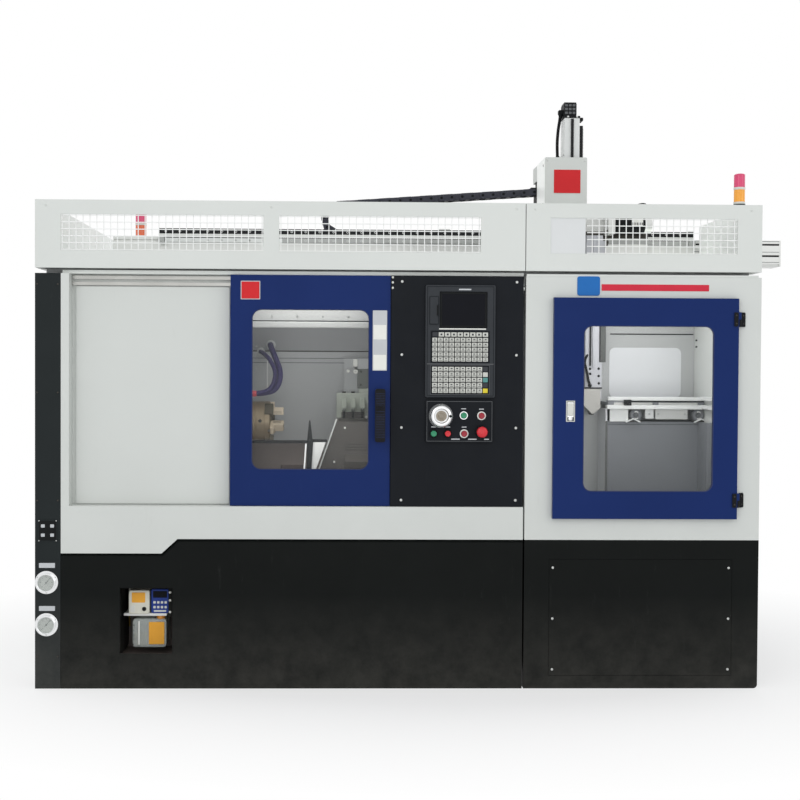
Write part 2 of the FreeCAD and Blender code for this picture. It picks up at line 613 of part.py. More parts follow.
# ---------------------------------------------------------------- doors
def lathe_door_frame():
    """Blue sheet-metal door, folded at its edges, with hangers that face the rails."""
    depth = (DOOR_FRONT, DOOR_FRONT + DOOR_THICKNESS)
    door = block((DOOR_LEFT, DOOR_RIGHT), depth, (DOOR_BOTTOM, DOOR_TOP))
    hollow = block((DOOR_LEFT + SHEET, DOOR_RIGHT - SHEET), (depth[0] + SHEET, depth[1] + 1),
                   (DOOR_BOTTOM + SHEET, DOOR_TOP - SHEET))
    x0, x1, z0, z1 = DOOR_WINDOW
    lining = block((x0 - 20, x1 + 20), depth, (z0 - 20, z1 + 20))
    window = rounded_block((x0, x1), (depth[0] - 1, depth[1] + 1), (z0, z1), DOOR_WINDOW_RADIUS)
    glass_seat = block((x0 - 8, x1 + 8), (depth[0] + 10, depth[0] + 16), (z0 - 8, z1 + 8))
    hangers = []
    for x in (780.0, 1195.0):
        hangers.append(block((x, x + 60), (depth[0] + SHEET, RAIL_FRONT - 0.4), (1494.0, 1538.0)))
    frame = fused([door.cut(hollow), lining] + hangers)
    return frame.cut(window).cut(glass_seat)


def lathe_door_window():
    """Clear pane seated in the door's lining."""
    x0, x1, z0, z1 = DOOR_WINDOW
    return block((x0 - 8, x1 + 8), (DOOR_FRONT + 10, DOOR_FRONT + 16), (z0 - 8, z1 + 8))


def lathe_door_handle():
    """Black bow handle with a finger gap behind its grip."""
    x = (1256.0, 1294.0)
    grip_depth = (-FRONT_REACH, -FRONT_REACH + 16)
    grip = rounded_block(x, grip_depth, (923.0, 1120.0), 8.0)
    feet = [block((x[0] + 5, x[1] - 5), (-FRONT_REACH + 16, DOOR_FRONT), z)
            for z in ((930.0, 960.0), (1083.0, 1113.0))]
    return fused([grip] + feet)


def stocker_door_frame():
    """Blue stocker door with its hinge leaves and the recess for the latch."""
    depth = (GATE_REAR - GATE_THICKNESS, GATE_REAR)
    door = block((GATE_LEFT, GATE_RIGHT), depth, (GATE_BOTTOM, GATE_TOP))
    x0, x1, z0, z1 = GATE_WINDOW
    window = rounded_block((x0, x1), (depth[0] - 1, depth[1] + 1), (z0, z1), GATE_WINDOW_RADIUS)
    seat = block((x0 - 8, x1 + 8), (depth[0] + 8, depth[0] + 13), (z0 - 8, z1 + 8))
    latch_recess = block(LATCH[:2], (depth[0] - 1, depth[0] + 14), LATCH[2:])
    door = door.cut(window).cut(seat).cut(latch_recess)
    leaves = []
    for bottom in HINGE_BOTTOMS:
        upper = (bottom + HINGE_HEIGHT / 2 + 0.5, bottom + HINGE_HEIGHT)
        leaf = block((GATE_RIGHT - 14, HINGE_X), (depth[0] - 3, depth[0]), upper)
        web = block((GATE_RIGHT, HINGE_X), (depth[0], HINGE_DEPTH), upper)
        plate = block((GATE_RIGHT - 14, GATE_RIGHT), (depth[0] - 3, depth[0]), (bottom, upper[1]))
        leaves.extend([leaf, web, plate, prism_z(HINGE_X, HINGE_DEPTH, upper, 6.0, 12)])
    frame = fused([door] + leaves)
    for bottom in HINGE_BOTTOMS:
        bore = rod_z(HINGE_X, HINGE_DEPTH, (bottom, bottom + HINGE_HEIGHT + 1), 3.0 + RUNNING_GAP)
        frame = frame.cut(bore)
    return frame


def stocker_door_window():
    """Clear pane of the stocker door."""
    x0, x1, z0, z1 = GATE_WINDOW
    front = GATE_REAR - GATE_THICKNESS
    return block((x0 - 8, x1 + 8), (front + 8, front + 13), (z0 - 8, z1 + 8))


def stocker_hinge_bases():
    """Fixed halves of the two hinges with their pins."""
    bases = []
    for bottom in HINGE_BOTTOMS:
        lower = (bottom, bottom + HINGE_HEIGHT / 2 - 0.5)
        knuckle = prism_z(HINGE_X, HINGE_DEPTH, lower, 6.0, 12)
        arm = block((HINGE_X, HINGE_X + 14), (HINGE_DEPTH + 1, 0.0), lower)
        plate = block((HINGE_X + 8, HINGE_X + 22), (-4.0, 0.0), (bottom, bottom + HINGE_HEIGHT))
        pin = rod_z(HINGE_X, HINGE_DEPTH, (bottom, bottom + HINGE_HEIGHT), 3.0)
        bases.append(fused([knuckle, arm, plate, pin]))
    return group(bases)


def latch_paddle():
    """Chrome paddle in the latch recess, hinged along its top edge."""
    x0, x1, z0, z1 = LATCH
    front = GATE_REAR - GATE_THICKNESS
    paddle = block((x0 + 2.0, x1 - 2.0), (front - 1.0, front + 3.0), (z0 + 14, z1 - 3))
    pivot = rod_x((x0 + 2.0, x1 - 2.0), front + 4.0, z1 - 7.0, 4.0)
    return fused([paddle, pivot])


# ---------------------------------------------------------------- work chamber
def headstock():
    """Spindle housing behind the chamber's left wall, with its round nose."""
    front, rear = 430.0, 850.0
    bottoms = [TROUGH_Z + (depth - SLOPE_START) * math.tan(SLOPE_ANGLE) for depth in (front, rear)]
    housing = bar_from_section([(front, bottoms[0]), (rear, bottoms[1]), (rear, 1180.0), (front, 1180.0)],
                               (150.0, 700.0))
    nose = rod_x((700.0, CHUCK_REAR_X - 0.5), SPINDLE_DEPTH, SPINDLE_Z, 68.0)
    return fused([housing, nose])


def chuck_body():
    """Three-jaw chuck: round body with a through bore and three radial slots."""
    body = rod_x((CHUCK_REAR_X, CHUCK_FRONT_X), SPINDLE_DEPTH, SPINDLE_Z, CHUCK_RADIUS)
    chuck = body.cut(rod_x((CHUCK_REAR_X - 1, CHUCK_FRONT_X + 1), SPINDLE_DEPTH, SPINDLE_Z, 22.0))
    for index in range(JAW_COUNT):
        slot = block((CHUCK_FRONT_X - 10, CHUCK_FRONT_X + 1), (SPINDLE_DEPTH - 9, SPINDLE_DEPTH + 9),
                     (SPINDLE_Z + 24, SPINDLE_Z + CHUCK_RADIUS + 1))
        turn_about_spindle(slot, index)
        chuck = chuck.cut(slot)
    return chuck


def turn_about_spindle(shape, index):
    """Turn a shape to the place of one of the jaws."""
    centre = FreeCAD.Vector(0, SPINDLE_DEPTH, SPINDLE_Z)
    shape.rotate(centre, FreeCAD.Vector(1, 0, 0), index * 360.0 / JAW_COUNT)


def chuck_jaw(index):
    """Hard jaw with three steps, its key in the chuck's slot and two screw holes."""
    side = [(CHUCK_FRONT_X + 0.4, 26.0), (CHUCK_FRONT_X + 51, 26.0), (CHUCK_FRONT_X + 51, 44.0),
            (CHUCK_FRONT_X + 34, 44.0), (CHUCK_FRONT_X + 34, 62.0), (CHUCK_FRONT_X + 18, 62.0),
            (CHUCK_FRONT_X + 18, 80.0), (CHUCK_FRONT_X + 0.4, 80.0)]
    corners = [FreeCAD.Vector(x, SPINDLE_DEPTH - 16, SPINDLE_Z + radius) for x, radius in side]
    jaw = Part.Face(Part.makePolygon(corners + corners[:1])).extrude(FreeCAD.Vector(0, 32, 0))
    key = block((CHUCK_FRONT_X - 9, CHUCK_FRONT_X + 1), (SPINDLE_DEPTH - 8.5, SPINDLE_DEPTH + 8.5),
                (SPINDLE_Z + 34, SPINDLE_Z + 76))
    jaw = fused([jaw, key])
    for radius, front in ((53.0, 34.0), (71.0, 18.0)):
        start = CHUCK_FRONT_X + front - 7
        ring = [FreeCAD.Vector(start, SPINDLE_DEPTH + a, SPINDLE_Z + radius + b)
                for a, b in many_sided(5.5, 8)]
        hole = Part.Face(Part.makePolygon(ring + ring[:1])).extrude(FreeCAD.Vector(60, 0, 0))
        jaw = jaw.cut(hole)
    turn_about_spindle(jaw, index)
    return jaw


def on_slope(x, along, above):
    """Block on the slanted bed: x span, span along the slope and span above it."""
    shape = block(x, along, above)
    shape.rotate(FreeCAD.Vector(0, 0, 0), FreeCAD.Vector(1, 0, 0), math.degrees(SLOPE_ANGLE))
    shape.translate(FreeCAD.Vector(0, SLOPE_START, TROUGH_Z))
    return shape


def saddle():
    """Saddle that runs on the bed's two rails."""
    slab = on_slope((1060.0, 1300.0), (70.0, 640.0), (2.0, 66.0))
    for along in (120.0, 520.0):
        slab = slab.cut(on_slope((1000.0, 1310.0), (along - 0.6, along + 34.6), (-1.0, 22.6)))
    return slab


def cross_slide():
    """Cross slide with its slanted chip cover in front and the gang plate behind."""
    slide = on_slope((1130.0, 1300.0), (250.0, 760.0), (66.6, 150.0))
    gib = on_slope((1150.0, 1280.0), (300.0, 600.0), (150.0, 190.0))
    plate = block((1150.0, 1306.0), (850.0, 878.0), (930.0, 1236.0))
    upper_block = block((1210.0, 1306.0), (800.0, 850.0), (1118.0, 1236.0))
    low, high = COVER_Z
    cover = plate_from_outline([(1041.0, low), (1300.0, low), (1300.0, high), (1126.0, high)], COVER_DEPTH)
    rim = plate_from_outline([(1029.0, low), (1041.5, low), (1126.0, high), (1113.5, high)],
                             (COVER_DEPTH[0] - 6, COVER_DEPTH[1]))
    return fused([slide, gib, plate, upper_block, cover, rim])


def tool_holders():
    """Tool block with three turning tools that point down the slope at the spindle's axis."""
    holder = block((1118.0, 1300.0), (786.0, 850.0), (1040.0, 1108.0))
    solids = [holder]
    reach = TOOL_TIP_DEPTH - SPINDLE_DEPTH
    tip_z = SPINDLE_Z + reach * math.tan(SLOPE_ANGLE)
    for x in (1139.0, 1178.0, 1218.0):
        shank = block((x, x + 20), (10.0, 110.0), (-10.0, 10.0))
        tip = block((x + 2, x + 18), (0.0, 10.0), (-5.0, 5.0))
        tool = shank.fuse(tip)
        tool.rotate(FreeCAD.Vector(0, 0, 0), FreeCAD.Vector(1, 0, 0), math.degrees(SLOPE_ANGLE))
        tool.translate(FreeCAD.Vector(0, TOOL_TIP_DEPTH, tip_z))
        clamp = prism_z(x + 10, 815.0, (1107.0, 1116.0), 8.0, 6)
        solids.extend([tool, clamp])
    return fused(solids)


def swept_tube(points, radius, sides=6, side_way=(0, 1, 0)):
    """Many-sided tube along straight runs joined by tangent arcs; side_way lies in its first section."""
    corners = [FreeCAD.Vector(*point) for point in points]
    edges = []
    radii = []
    start = corners[0]
    for index in range(1, len(corners) - 1):
        before = corners[index] - corners[index - 1]
        after = corners[index + 1] - corners[index]
        turn = before.getAngle(after)
        shorter = min(before.Length, after.Length)
        bend = 0.45 * shorter / math.tan(turn / 2)
        setback = 0.45 * shorter
        radii.append(round(bend))
        before.normalize()
        after.normalize()
        arc_start = corners[index] - before * setback
        arc_end = corners[index] + after * setback
        towards = after - before
        towards.normalize()
        centre = corners[index] + towards * (bend / math.cos(turn / 2))
        middle = centre - towards * bend
        edges.append(Part.makeLine(start, arc_start))
        edges.append(Part.Arc(arc_start, middle, arc_end).toShape())
        start = arc_end
    edges.append(Part.makeLine(start, corners[-1]))
    path = Part.Wire(edges)
    across = FreeCAD.Vector(0, 0, 1)
    sideways = FreeCAD.Vector(*side_way)
    ring = [corners[0] + sideways * a + across * b for a, b in many_sided(radius, sides)]
    section = Part.makePolygon(ring + ring[:1])
    tube = path.makePipeShell([section], True, False)
    print("tube: bend radii", radii, "volume over section x length",
          round(tube.Volume / (Part.Face(section).Area * path.Length), 4))
    return tube


def coolant_hose():
    """Pair of hoses that leave the rear wall, bow down over the chuck and meet the nozzle block."""
    wall = REAR_WALL_DEPTH
    block_end = CHAMBER_LEFT + NOZZLE_BLOCK
    first = swept_tube([(824.0, wall, 1296.0), (824.0, 820.0, 1296.0), (834.0, 700.0, 1284.0),
                        (858.0, 612.0, 1236.0), (884.0, 592.0, 1172.0), (864.0, 588.0, 1112.0),
                        (812.0, 588.0, 1094.0), (block_end, 588.0, 1094.0)], 12.0, 6, (1, 0, 0))
    second = swept_tube([(780.0, wall, 1266.0), (780.0, 820.0, 1266.0), (802.0, 680.0, 1258.0),
                         (840.0, 580.0, 1226.0), (864.0, 558.0, 1172.0), (844.0, 556.0, 1116.0),
                         (796.0, 556.0, 1094.0), (block_end - NOZZLE_STEP, 556.0, 1094.0)],
                        9.0, 6, (1, 0, 0))
    return group([first, second])


# ---------------------------------------------------------------- lubricator
def lubricator_pump():
    """Bracket, pump body, its control box and the filler cap behind the base's window."""
    bracket = block((322.0, 478.0), (60.0, 150.0), (262.0, 270.0))
    riser = block((322.0, 478.0), (150.0, 210.0), (262.0, 372.0))
    body = rounded_block((340.0, 414.0), (50.0, 150.0), (270.0, 356.0), 6.0)
    controller = rounded_block((424.0, 486.0), (54.0, 150.0), (272.0, 360.0), 5.0)
    cap = prism_z(456.0, 74.0, (249.0, 262.0), 15.0)
    return fused([bracket, riser, body, controller, cap])


def lubricator_reservoir():
    """Clear tank that hangs under the bracket, with its filler neck at the right."""
    tank = rounded_block((352.0, 476.0), (64.0, 190.0), (142.0, 248.6), 10.0)
    inside = block((355.0, 473.0), (67.0, 187.0), (145.0, 246.0))
    collar = block((370.0, 440.0), (90.0, 160.0), (248.6, 262.0))
    return fused([tank, collar]).cut(inside)


# ---------------------------------------------------------------- stocker
def stocker_table():
    """Workpiece table: two rails, the pallet plate, drive discs and its grey front panel."""
    left, right = 2252.0, 2655.0
    top_rail = block((left, right), (540.0, 552.0), (1066.0, 1080.0))
    plate = block((left, right), (552.0, 900.0), (1046.0, 1058.0))
    low_rail = block((left - 6, right), (532.0, 560.0), (1030.0, 1046.0))
    carrier = block((left + 8, left + 76), (552.0, 600.0), (984.0, 1030.0))
    drive = block((2455.0, 2590.0), (556.0, 640.0), (988.0, 1030.0))
    spacer = block((2412.0, 2446.0), (556.0, 620.0), (990.0, 1030.0))
    posts = [block((x, x + 24), (544.0, 576.0), (1046.0, 1066.0)) for x in (left, 2440.0, right - 24)]
    discs = []
    for x in (2371.0, 2634.0):
        discs.append(prism_depth(x, 1004.0, (552.0, 590.0), 26.0))
        discs.append(prism_depth(x, 1004.0, (546.0, 552.0), 9.0, 12))
        discs.append(block((x - 14, x + 14), (556.0, 600.0), (1004.0, 1034.0)))
    shelf = block((left, right), (600.0, 900.0), (958.0, 978.0))
    legs = block((left + 8, left + 76), (600.0, 640.0), (978.0, 1030.0))
    front = block((left, right), (560.0, 620.0), (BASE_TOP, 978.0))
    sensor = block((2324.0, 2346.0), (530.0, 540.0), (1050.0, 1068.0))
    bridge = block((2324.0, 2346.0), (530.0, 552.0), (1046.0, 1052.0))
    return fused([top_rail, plate, low_rail, carrier, drive, spacer, shelf, legs, front, sensor, bridge]
                 + posts + discs)


# ---------------------------------------------------------------- gantry and loader
def gantry_beam():
    """Extruded beam with end caps, roof pedestals, the chain's tray and two guide rails."""
    groove = 6.0
    section = [(BEAM_FRONT, BEAM_BOTTOM + 10), (BEAM_FRONT + 10, BEAM_BOTTOM), (BEAM_REAR, BEAM_BOTTOM),
               (BEAM_REAR, BEAM_TOP), (BEAM_FRONT, BEAM_TOP), (BEAM_FRONT, BEAM_TOP - 14),
               (BEAM_FRONT + groove, BEAM_TOP - 14), (BEAM_FRONT + groove, BEAM_TOP - 22),
               (BEAM_FRONT, BEAM_TOP - 22), (BEAM_FRONT, BEAM_BOTTOM + 48),
               (BEAM_FRONT + groove, BEAM_BOTTOM + 48), (BEAM_FRONT + groove, BEAM_BOTTOM + 40),
               (BEAM_FRONT, BEAM_BOTTOM + 40)]
    beam = bar_from_section(section, (BEAM_LEFT + 6, OVERALL_LENGTH - 6))
    caps = [block((BEAM_LEFT, BEAM_LEFT + 6), (BEAM_FRONT, BEAM_REAR), (BEAM_BOTTOM, BEAM_TOP)),
            block((OVERALL_LENGTH - 6, OVERALL_LENGTH), (BEAM_FRONT, BEAM_REAR), (BEAM_BOTTOM, BEAM_TOP))]
    pedestals = []
    for x in (290.0, 1600.0, 2480.0):
        pedestals.append(block((x, x + 130), (BEAM_FRONT + 20, BEAM_REAR), (BODY_TOP, BEAM_BOTTOM)))
        pedestals.append(block((x - 30, x + 160), (BEAM_FRONT + 20, BEAM_REAR + 40),
                               (BODY_TOP, BODY_TOP + 12)))
    tray = block((350.0, 2660.0), (BEAM_FRONT + 10, BEAM_REAR), (BEAM_TOP, BEAM_TOP + 8))
    lip = block((350.0, 2660.0), (BEAM_REAR - 4, BEAM_REAR), (BEAM_TOP + 8, BEAM_TOP + 40))
    upper_rail = block((350.0, 2660.0), (BEAM_FRONT + 2, BEAM_FRONT + 10), (BEAM_TOP, BEAM_TOP + 34))
    lower_rail = block((350.0, 2660.0), (BEAM_FRONT - 12, BEAM_FRONT), (BEAM_TOP - 26, BEAM_TOP - 8))
    return group([fused([beam, tray, lip] + caps + pedestals), upper_rail, lower_rail])


def chain_path():
    """Pivot points of the drag chain from its fixed end, round the bend, to the carriage."""
    bend_z = CHAIN_LOW_Z + CHAIN_BEND_RADIUS
    points = []
    straight = CHAIN_FIXED_X - CHAIN_BEND_X
    arc = math.pi * CHAIN_BEND_RADIUS
    rise = CHAIN_END_Z - (CHAIN_LOW_Z + 2 * CHAIN_BEND_RADIUS)
    run = CHAIN_END_X - CHAIN_BEND_X
    total = straight + arc + math.hypot(run, rise)
    links = int(total // CHAIN_PITCH)
    for index in range(links + 1):
        length = index * CHAIN_PITCH
        if length < straight:
            points.append((CHAIN_FIXED_X - length, CHAIN_LOW_Z))
        elif length < straight + arc:
            angle = (length - straight) / CHAIN_BEND_RADIUS
            points.append((CHAIN_BEND_X - CHAIN_BEND_RADIUS * math.sin(angle),
                           bend_z - CHAIN_BEND_RADIUS * math.cos(angle)))
        else:
            share = (length - straight - arc) / math.hypot(run, rise)
            points.append((CHAIN_BEND_X + run * share, CHAIN_LOW_Z + 2 * CHAIN_BEND_RADIUS + rise * share))
    return points


def drag_chain():
    """Cable chain: links with side plates that alternate outside and inside, and crossbars."""
    points = chain_path()
    half = CHAIN_HEIGHT / 2
    cut = CHAIN_HEIGHT / 4
    front, rear = CHAIN_DEPTH
    plates = []
    for index in range(len(points) - 1):
        x0, z0 = points[index]
        x1, z1 = points[index + 1]
        length = math.hypot(x1 - x0, z1 - z0)
        tilt = math.degrees(math.atan2(z1 - z0, x1 - x0))
        outline = [(-cut, -half), (length + cut, -half), (length + half, 0.0),
                   (length + cut, half), (-cut, half), (-half, 0.0)]
        inset = PLATE_LAP * (index % 2)
        link = fused([plate_from_outline(outline, (front + inset, front + inset + 5)),
                      plate_from_outline(outline, (rear - inset - 5, rear - inset)),
                      block((length * 0.3, length * 0.7), (front + inset + 4, rear - inset - 4),
                            (half - 6, half - 2))])
        link.rotate(FreeCAD.Vector(0, 0, 0), FreeCAD.Vector(0, 1, 0), -tilt)
        link.translate(FreeCAD.Vector(x0, 0, z0))
        plates.append(link)
    return group(plates)


def gantry_carriage():
    """Carriage plate with its runner blocks, servo motor and the chain's bracket."""
    plate = block((1985.0, 2452.0), (700.0, 712.0), (1604.0, 1860.0))
    guides = [block((2081.0, 2122.0), (ARM_REAR + 0.5, 700.0), z)
              for z in ((1700.0, 1750.0), (1795.0, 1850.0))]
    motor = rod_x((2290.0, 2450.0), 655.0, 1812.0, 36.0)
    flange = block((2262.0, 2290.0), (612.0, 700.0), (1770.0, 1855.0))
    seat = block((2290.0, 2450.0), (655.0, 700.0), (1800.0, 1824.0))
    top = block((1985.0, 2452.0), (700.0, 760.0), (1860.0, 1866.0))
    bracket = block((1999.0, 2015.0), (754.0, 836.0), (1860.0, 1984.0))
    return fused([plate, motor, flange, seat, top, bracket] + guides)


def loader_cover():
    """White cover box round the arm's drive, open below and slotted on top for the arm."""
    outer = rounded_block(LOADER_COVER_X, (560.0, 860.0), LOADER_COVER_Z, 6.0)
    x0, x1 = LOADER_COVER_X
    inner = block((x0 + SHEET, x1 - SHEET), (560.0 + SHEET, 860.0 - SHEET),
                  (LOADER_COVER_Z[0] - 1, LOADER_COVER_Z[1] - SHEET))
    slot = block((UPPER_ARM_X[0] - 8, x1 - SHEET), (ARM_FRONT - 14, ARM_REAR + 8),
                 (LOADER_COVER_Z[1] - 10, LOADER_COVER_Z[1] + 10))
    chain_mouth = block((x0 - 1, x0 + 10), (745.0, 861.0), (LOADER_COVER_Z[0] - 1, 2010.0))
    plate_gap = block((x0 - 1, x1 + 1), (698.0, 762.0), (LOADER_COVER_Z[0] - 1, 1866.0))
    return outer.cut(inner).cut(slot).cut(chain_mouth).cut(plate_gap)


def arm_profile(x, z, rack_x, rack_z):
    """Arm beam with a guide rail on its front face and a rack along its right side."""
    beam = block(x, (ARM_FRONT, ARM_REAR), z)
    middle = (x[0] + x[1]) / 2
    rail = block((middle - 5, middle + 5), (ARM_FRONT - 7, ARM_FRONT), (z[0] + 90, z[1] - 6))
    rack = block(rack_x, (ARM_FRONT + 26, ARM_FRONT + 56), rack_z)
    return [beam, rail, rack]


def upper_arm():
    """Upper stage of the loader's arm with its foot bracket and the plug at its head."""
    x0, x1 = UPPER_ARM_X
    shapes = arm_profile(UPPER_ARM_X, UPPER_ARM_Z, (x1, x1 + 19), (1626.0, 2225.0))
    foot = block((x1, LOWER_ARM_X[0] - 0.4), (ARM_FRONT + 10, ARM_REAR - 10), (1500.0, 1530.0))
    head = block((x0, x1 - 13), (ARM_FRONT + 12, ARM_REAR - 12), (2254.0, 2320.0))
    return fused(shapes + [foot, head])


def lower_arm():
    """Lower stage with the yoke that holds the gripper's swivel pin."""
    x0, x1 = LOWER_ARM_X
    shapes = arm_profile(LOWER_ARM_X, LOWER_ARM_Z, (x1, x1 + 15), (1227.0, 1740.0))
    cheek = [(x0, LOWER_ARM_Z[0]), (x0, SWIVEL_Z - 20), (SWIVEL_X - 8, SWIVEL_Z - 46),
             (SWIVEL_X + 8, SWIVEL_Z - 46), (x1, SWIVEL_Z - 20), (x1, LOWER_ARM_Z[0])]
    for depth in ((ARM_FRONT, ARM_FRONT + 8), (ARM_REAR - 8, ARM_REAR)):
        shapes.append(plate_from_outline(cheek, depth))
    shapes.append(rod_depth(SWIVEL_X, SWIVEL_Z, (ARM_FRONT + 4, ARM_REAR - 4), 8.0))
    return fused(shapes)


def gripper_head():
    """Swivelling head with a pointed lower end and the slideway of the two fingers."""
    depth = (ARM_FRONT + 9, ARM_REAR - 9)
    barrel = rod_depth(SWIVEL_X, SWIVEL_Z, depth, 28.0)
    outline = [(SWIVEL_X - 28, SWIVEL_Z), (SWIVEL_X + 28, SWIVEL_Z), (SWIVEL_X + 26, SWIVEL_Z - 26),
               (SWIVEL_X + 14, SWIVEL_Z - 44), (SWIVEL_X - 14, SWIVEL_Z - 44),
               (SWIVEL_X - 26, SWIVEL_Z - 26)]
    head = fused([barrel, plate_from_outline(outline, depth)])
    return head.cut(rod_depth(SWIVEL_X, SWIVEL_Z, (ARM_FRONT, ARM_REAR), 8.0 + RUNNING_GAP))


def gripper_finger(front):
    """One finger of the gripper with its stepped pad; the pair meets round the workpiece."""
    centre = (ARM_FRONT + ARM_REAR) / 2
    near, far = (9.0, 24.0)
    span = (centre - far, centre - near) if front else (centre + near, centre + far)
    root = block((SWIVEL_X - 13, SWIVEL_X + 13), span, (SWIVEL_Z - 60, SWIVEL_Z - 44.4))
    tip = plate_from_outline([(SWIVEL_X - 13, SWIVEL_Z - 60), (SWIVEL_X + 13, SWIVEL_Z - 60),
                              (SWIVEL_X + 5, SWIVEL_Z - 83), (SWIVEL_X - 5, SWIVEL_Z - 83)], span)
    return fused([root, tip])


def arm_cable():
    """Black cable that bows out from the arm's plug down to the cover."""
    depth = 645.0
    route = [(UPPER_ARM_X[0], 2282.0), (2051.0, 2282.0), (2038.0, 2262.0), (2035.0, 2205.0),
             (2040.0, 2150.0), (2049.0, 2116.0), (2049.0, LOADER_COVER_Z[1])]
    return swept_tube([(x, depth, z) for x, z in route], 6.0, 6)


# ---------------------------------------------------------------- writing the sub-parts
def all_nodes():
    """Every sub-part by its node name."""
    nodes = {
        "left_base_cover": left_base_cover(), "bed_casting": bed_casting(),
        "right_base_cover": right_base_cover(), "base_access_panel": base_access_panel(),
        "left_column_cover": left_column_cover(),
        "gauge_cases": gauge_cases(), "upper_gauge_needle": gauge_needle(GAUGE_HEIGHTS[0]),
        "lower_gauge_needle": gauge_needle(GAUGE_HEIGHTS[1]),
        "lathe_front_cover": lathe_front_cover(), "fixed_front_panel": fixed_front_panel(),
        "door_rails": door_rails(), "end_and_rear_covers": end_and_rear_covers(),
        "chamber_walls": chamber_walls(), "roof_panels": roof_panels(),
        "stocker_front_cover": stocker_front_cover(), "neck_rails": neck_rails(),
        "guard_fronts": guard_fronts(), "guard_ends": guard_ends(), "guard_mesh": guard_mesh(),
        "guard_pale_plate": guard_pale_plate(),
        "signal_towers": signal_towers(), "operator_console": operator_console(),
        "control_unit": control_unit(), "card_slot_cover": card_slot_cover(),
        "emergency_stop": emergency_stop(), "handwheel": handwheel(),
        "lathe_door_frame": lathe_door_frame(), "lathe_door_window": lathe_door_window(),
        "lathe_door_handle": lathe_door_handle(), "stocker_door_frame": stocker_door_frame(),
        "stocker_door_window": stocker_door_window(), "stocker_hinge_bases": stocker_hinge_bases(),
        "latch_paddle": latch_paddle(), "headstock": headstock(), "chuck_body": chuck_body(),
        "saddle": saddle(), "cross_slide": cross_slide(), "tool_holders": tool_holders(),
        "coolant_hose": coolant_hose(), "lubricator_pump": lubricator_pump(),
        "lubricator_reservoir": lubricator_reservoir(), "stocker_table": stocker_table(),
        "gantry_beam": gantry_beam(), "drag_chain": drag_chain(),
        "gantry_carriage": gantry_carriage(), "loader_cover": loader_cover(),
        "upper_arm": upper_arm(), "lower_arm": lower_arm(), "gripper_head": gripper_head(),
        "front_gripper_finger": gripper_finger(True), "rear_gripper_finger": gripper_finger(False),
        "arm_cable": arm_cable(),
    }
    for name, centre in BUTTON_CENTRES.items():
        nodes[name] = push_button(centre[0], centre[1])
    for index in range(JAW_COUNT):
        nodes["chuck_jaw_%d" % (index + 1)] = chuck_jaw(index)
    return nodes


for node_name, node_shape in all_nodes().items():
    placed = node_shape.copy()
    placed.translate(FreeCAD.Vector(-ORIGIN_X, -ORIGIN_DEPTH, 0))
    placed.exportStep("parts/%s.step" % node_name)
    print(node_name, "valid" if placed.isValid() else "NOT VALID", len(placed.Solids), "solids",
          round(placed.Volume / 1e6, 3), "litres")
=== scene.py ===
import math

import bpy
from mathutils import Matrix, Vector


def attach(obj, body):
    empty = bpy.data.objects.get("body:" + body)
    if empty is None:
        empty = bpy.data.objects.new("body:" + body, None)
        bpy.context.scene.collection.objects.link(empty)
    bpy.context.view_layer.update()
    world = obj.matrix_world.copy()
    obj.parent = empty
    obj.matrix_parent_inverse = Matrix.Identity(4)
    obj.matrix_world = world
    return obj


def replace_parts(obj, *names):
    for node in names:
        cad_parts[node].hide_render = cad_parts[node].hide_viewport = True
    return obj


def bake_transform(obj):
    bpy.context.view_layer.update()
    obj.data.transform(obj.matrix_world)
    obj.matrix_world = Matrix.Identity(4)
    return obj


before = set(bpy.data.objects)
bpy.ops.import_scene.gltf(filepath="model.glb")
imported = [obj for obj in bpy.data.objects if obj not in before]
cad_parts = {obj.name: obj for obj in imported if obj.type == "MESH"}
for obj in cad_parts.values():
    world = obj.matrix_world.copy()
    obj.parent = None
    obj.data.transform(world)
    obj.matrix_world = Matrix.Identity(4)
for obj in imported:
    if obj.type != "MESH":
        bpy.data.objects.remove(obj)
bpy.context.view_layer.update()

bl_info = {
    "name": "Turning lathe with stocker and gantry loader",
    "version": (1, 0, 0),
    "blender": (4, 5, 0),
    "location": "View3D > Sidebar > Lathe",
    "description": "Finishes and detail pieces of a turning lathe with its loader",
    "category": "Object",
}

MM = 0.001
MIDDLE_X = 1520.0       # x of the row frame's middle, from the cabinet's left edge
MIDDLE_DEPTH = 727.5    # depth of the row frame's middle, back from the front covers
SHARP_EDGE = math.radians(40.0)
CORNER_STEPS = 6
TINY = 1e-6
WHITE = (1.0, 1.0, 1.0, 1.0)


def rgb(*display):
    """Linear colour from three 8-bit display values."""
    shares = (value / 255 for value in display)
    return tuple(share / 12.92 if share <= 0.04045 else ((share + 0.055) / 1.055) ** 2.4 for share in shares)


PAINT = {"subtype": "COLOR", "size": 3, "min": 0, "max": 1}
LENGTH = {"unit": "LENGTH", "subtype": "DISTANCE"}


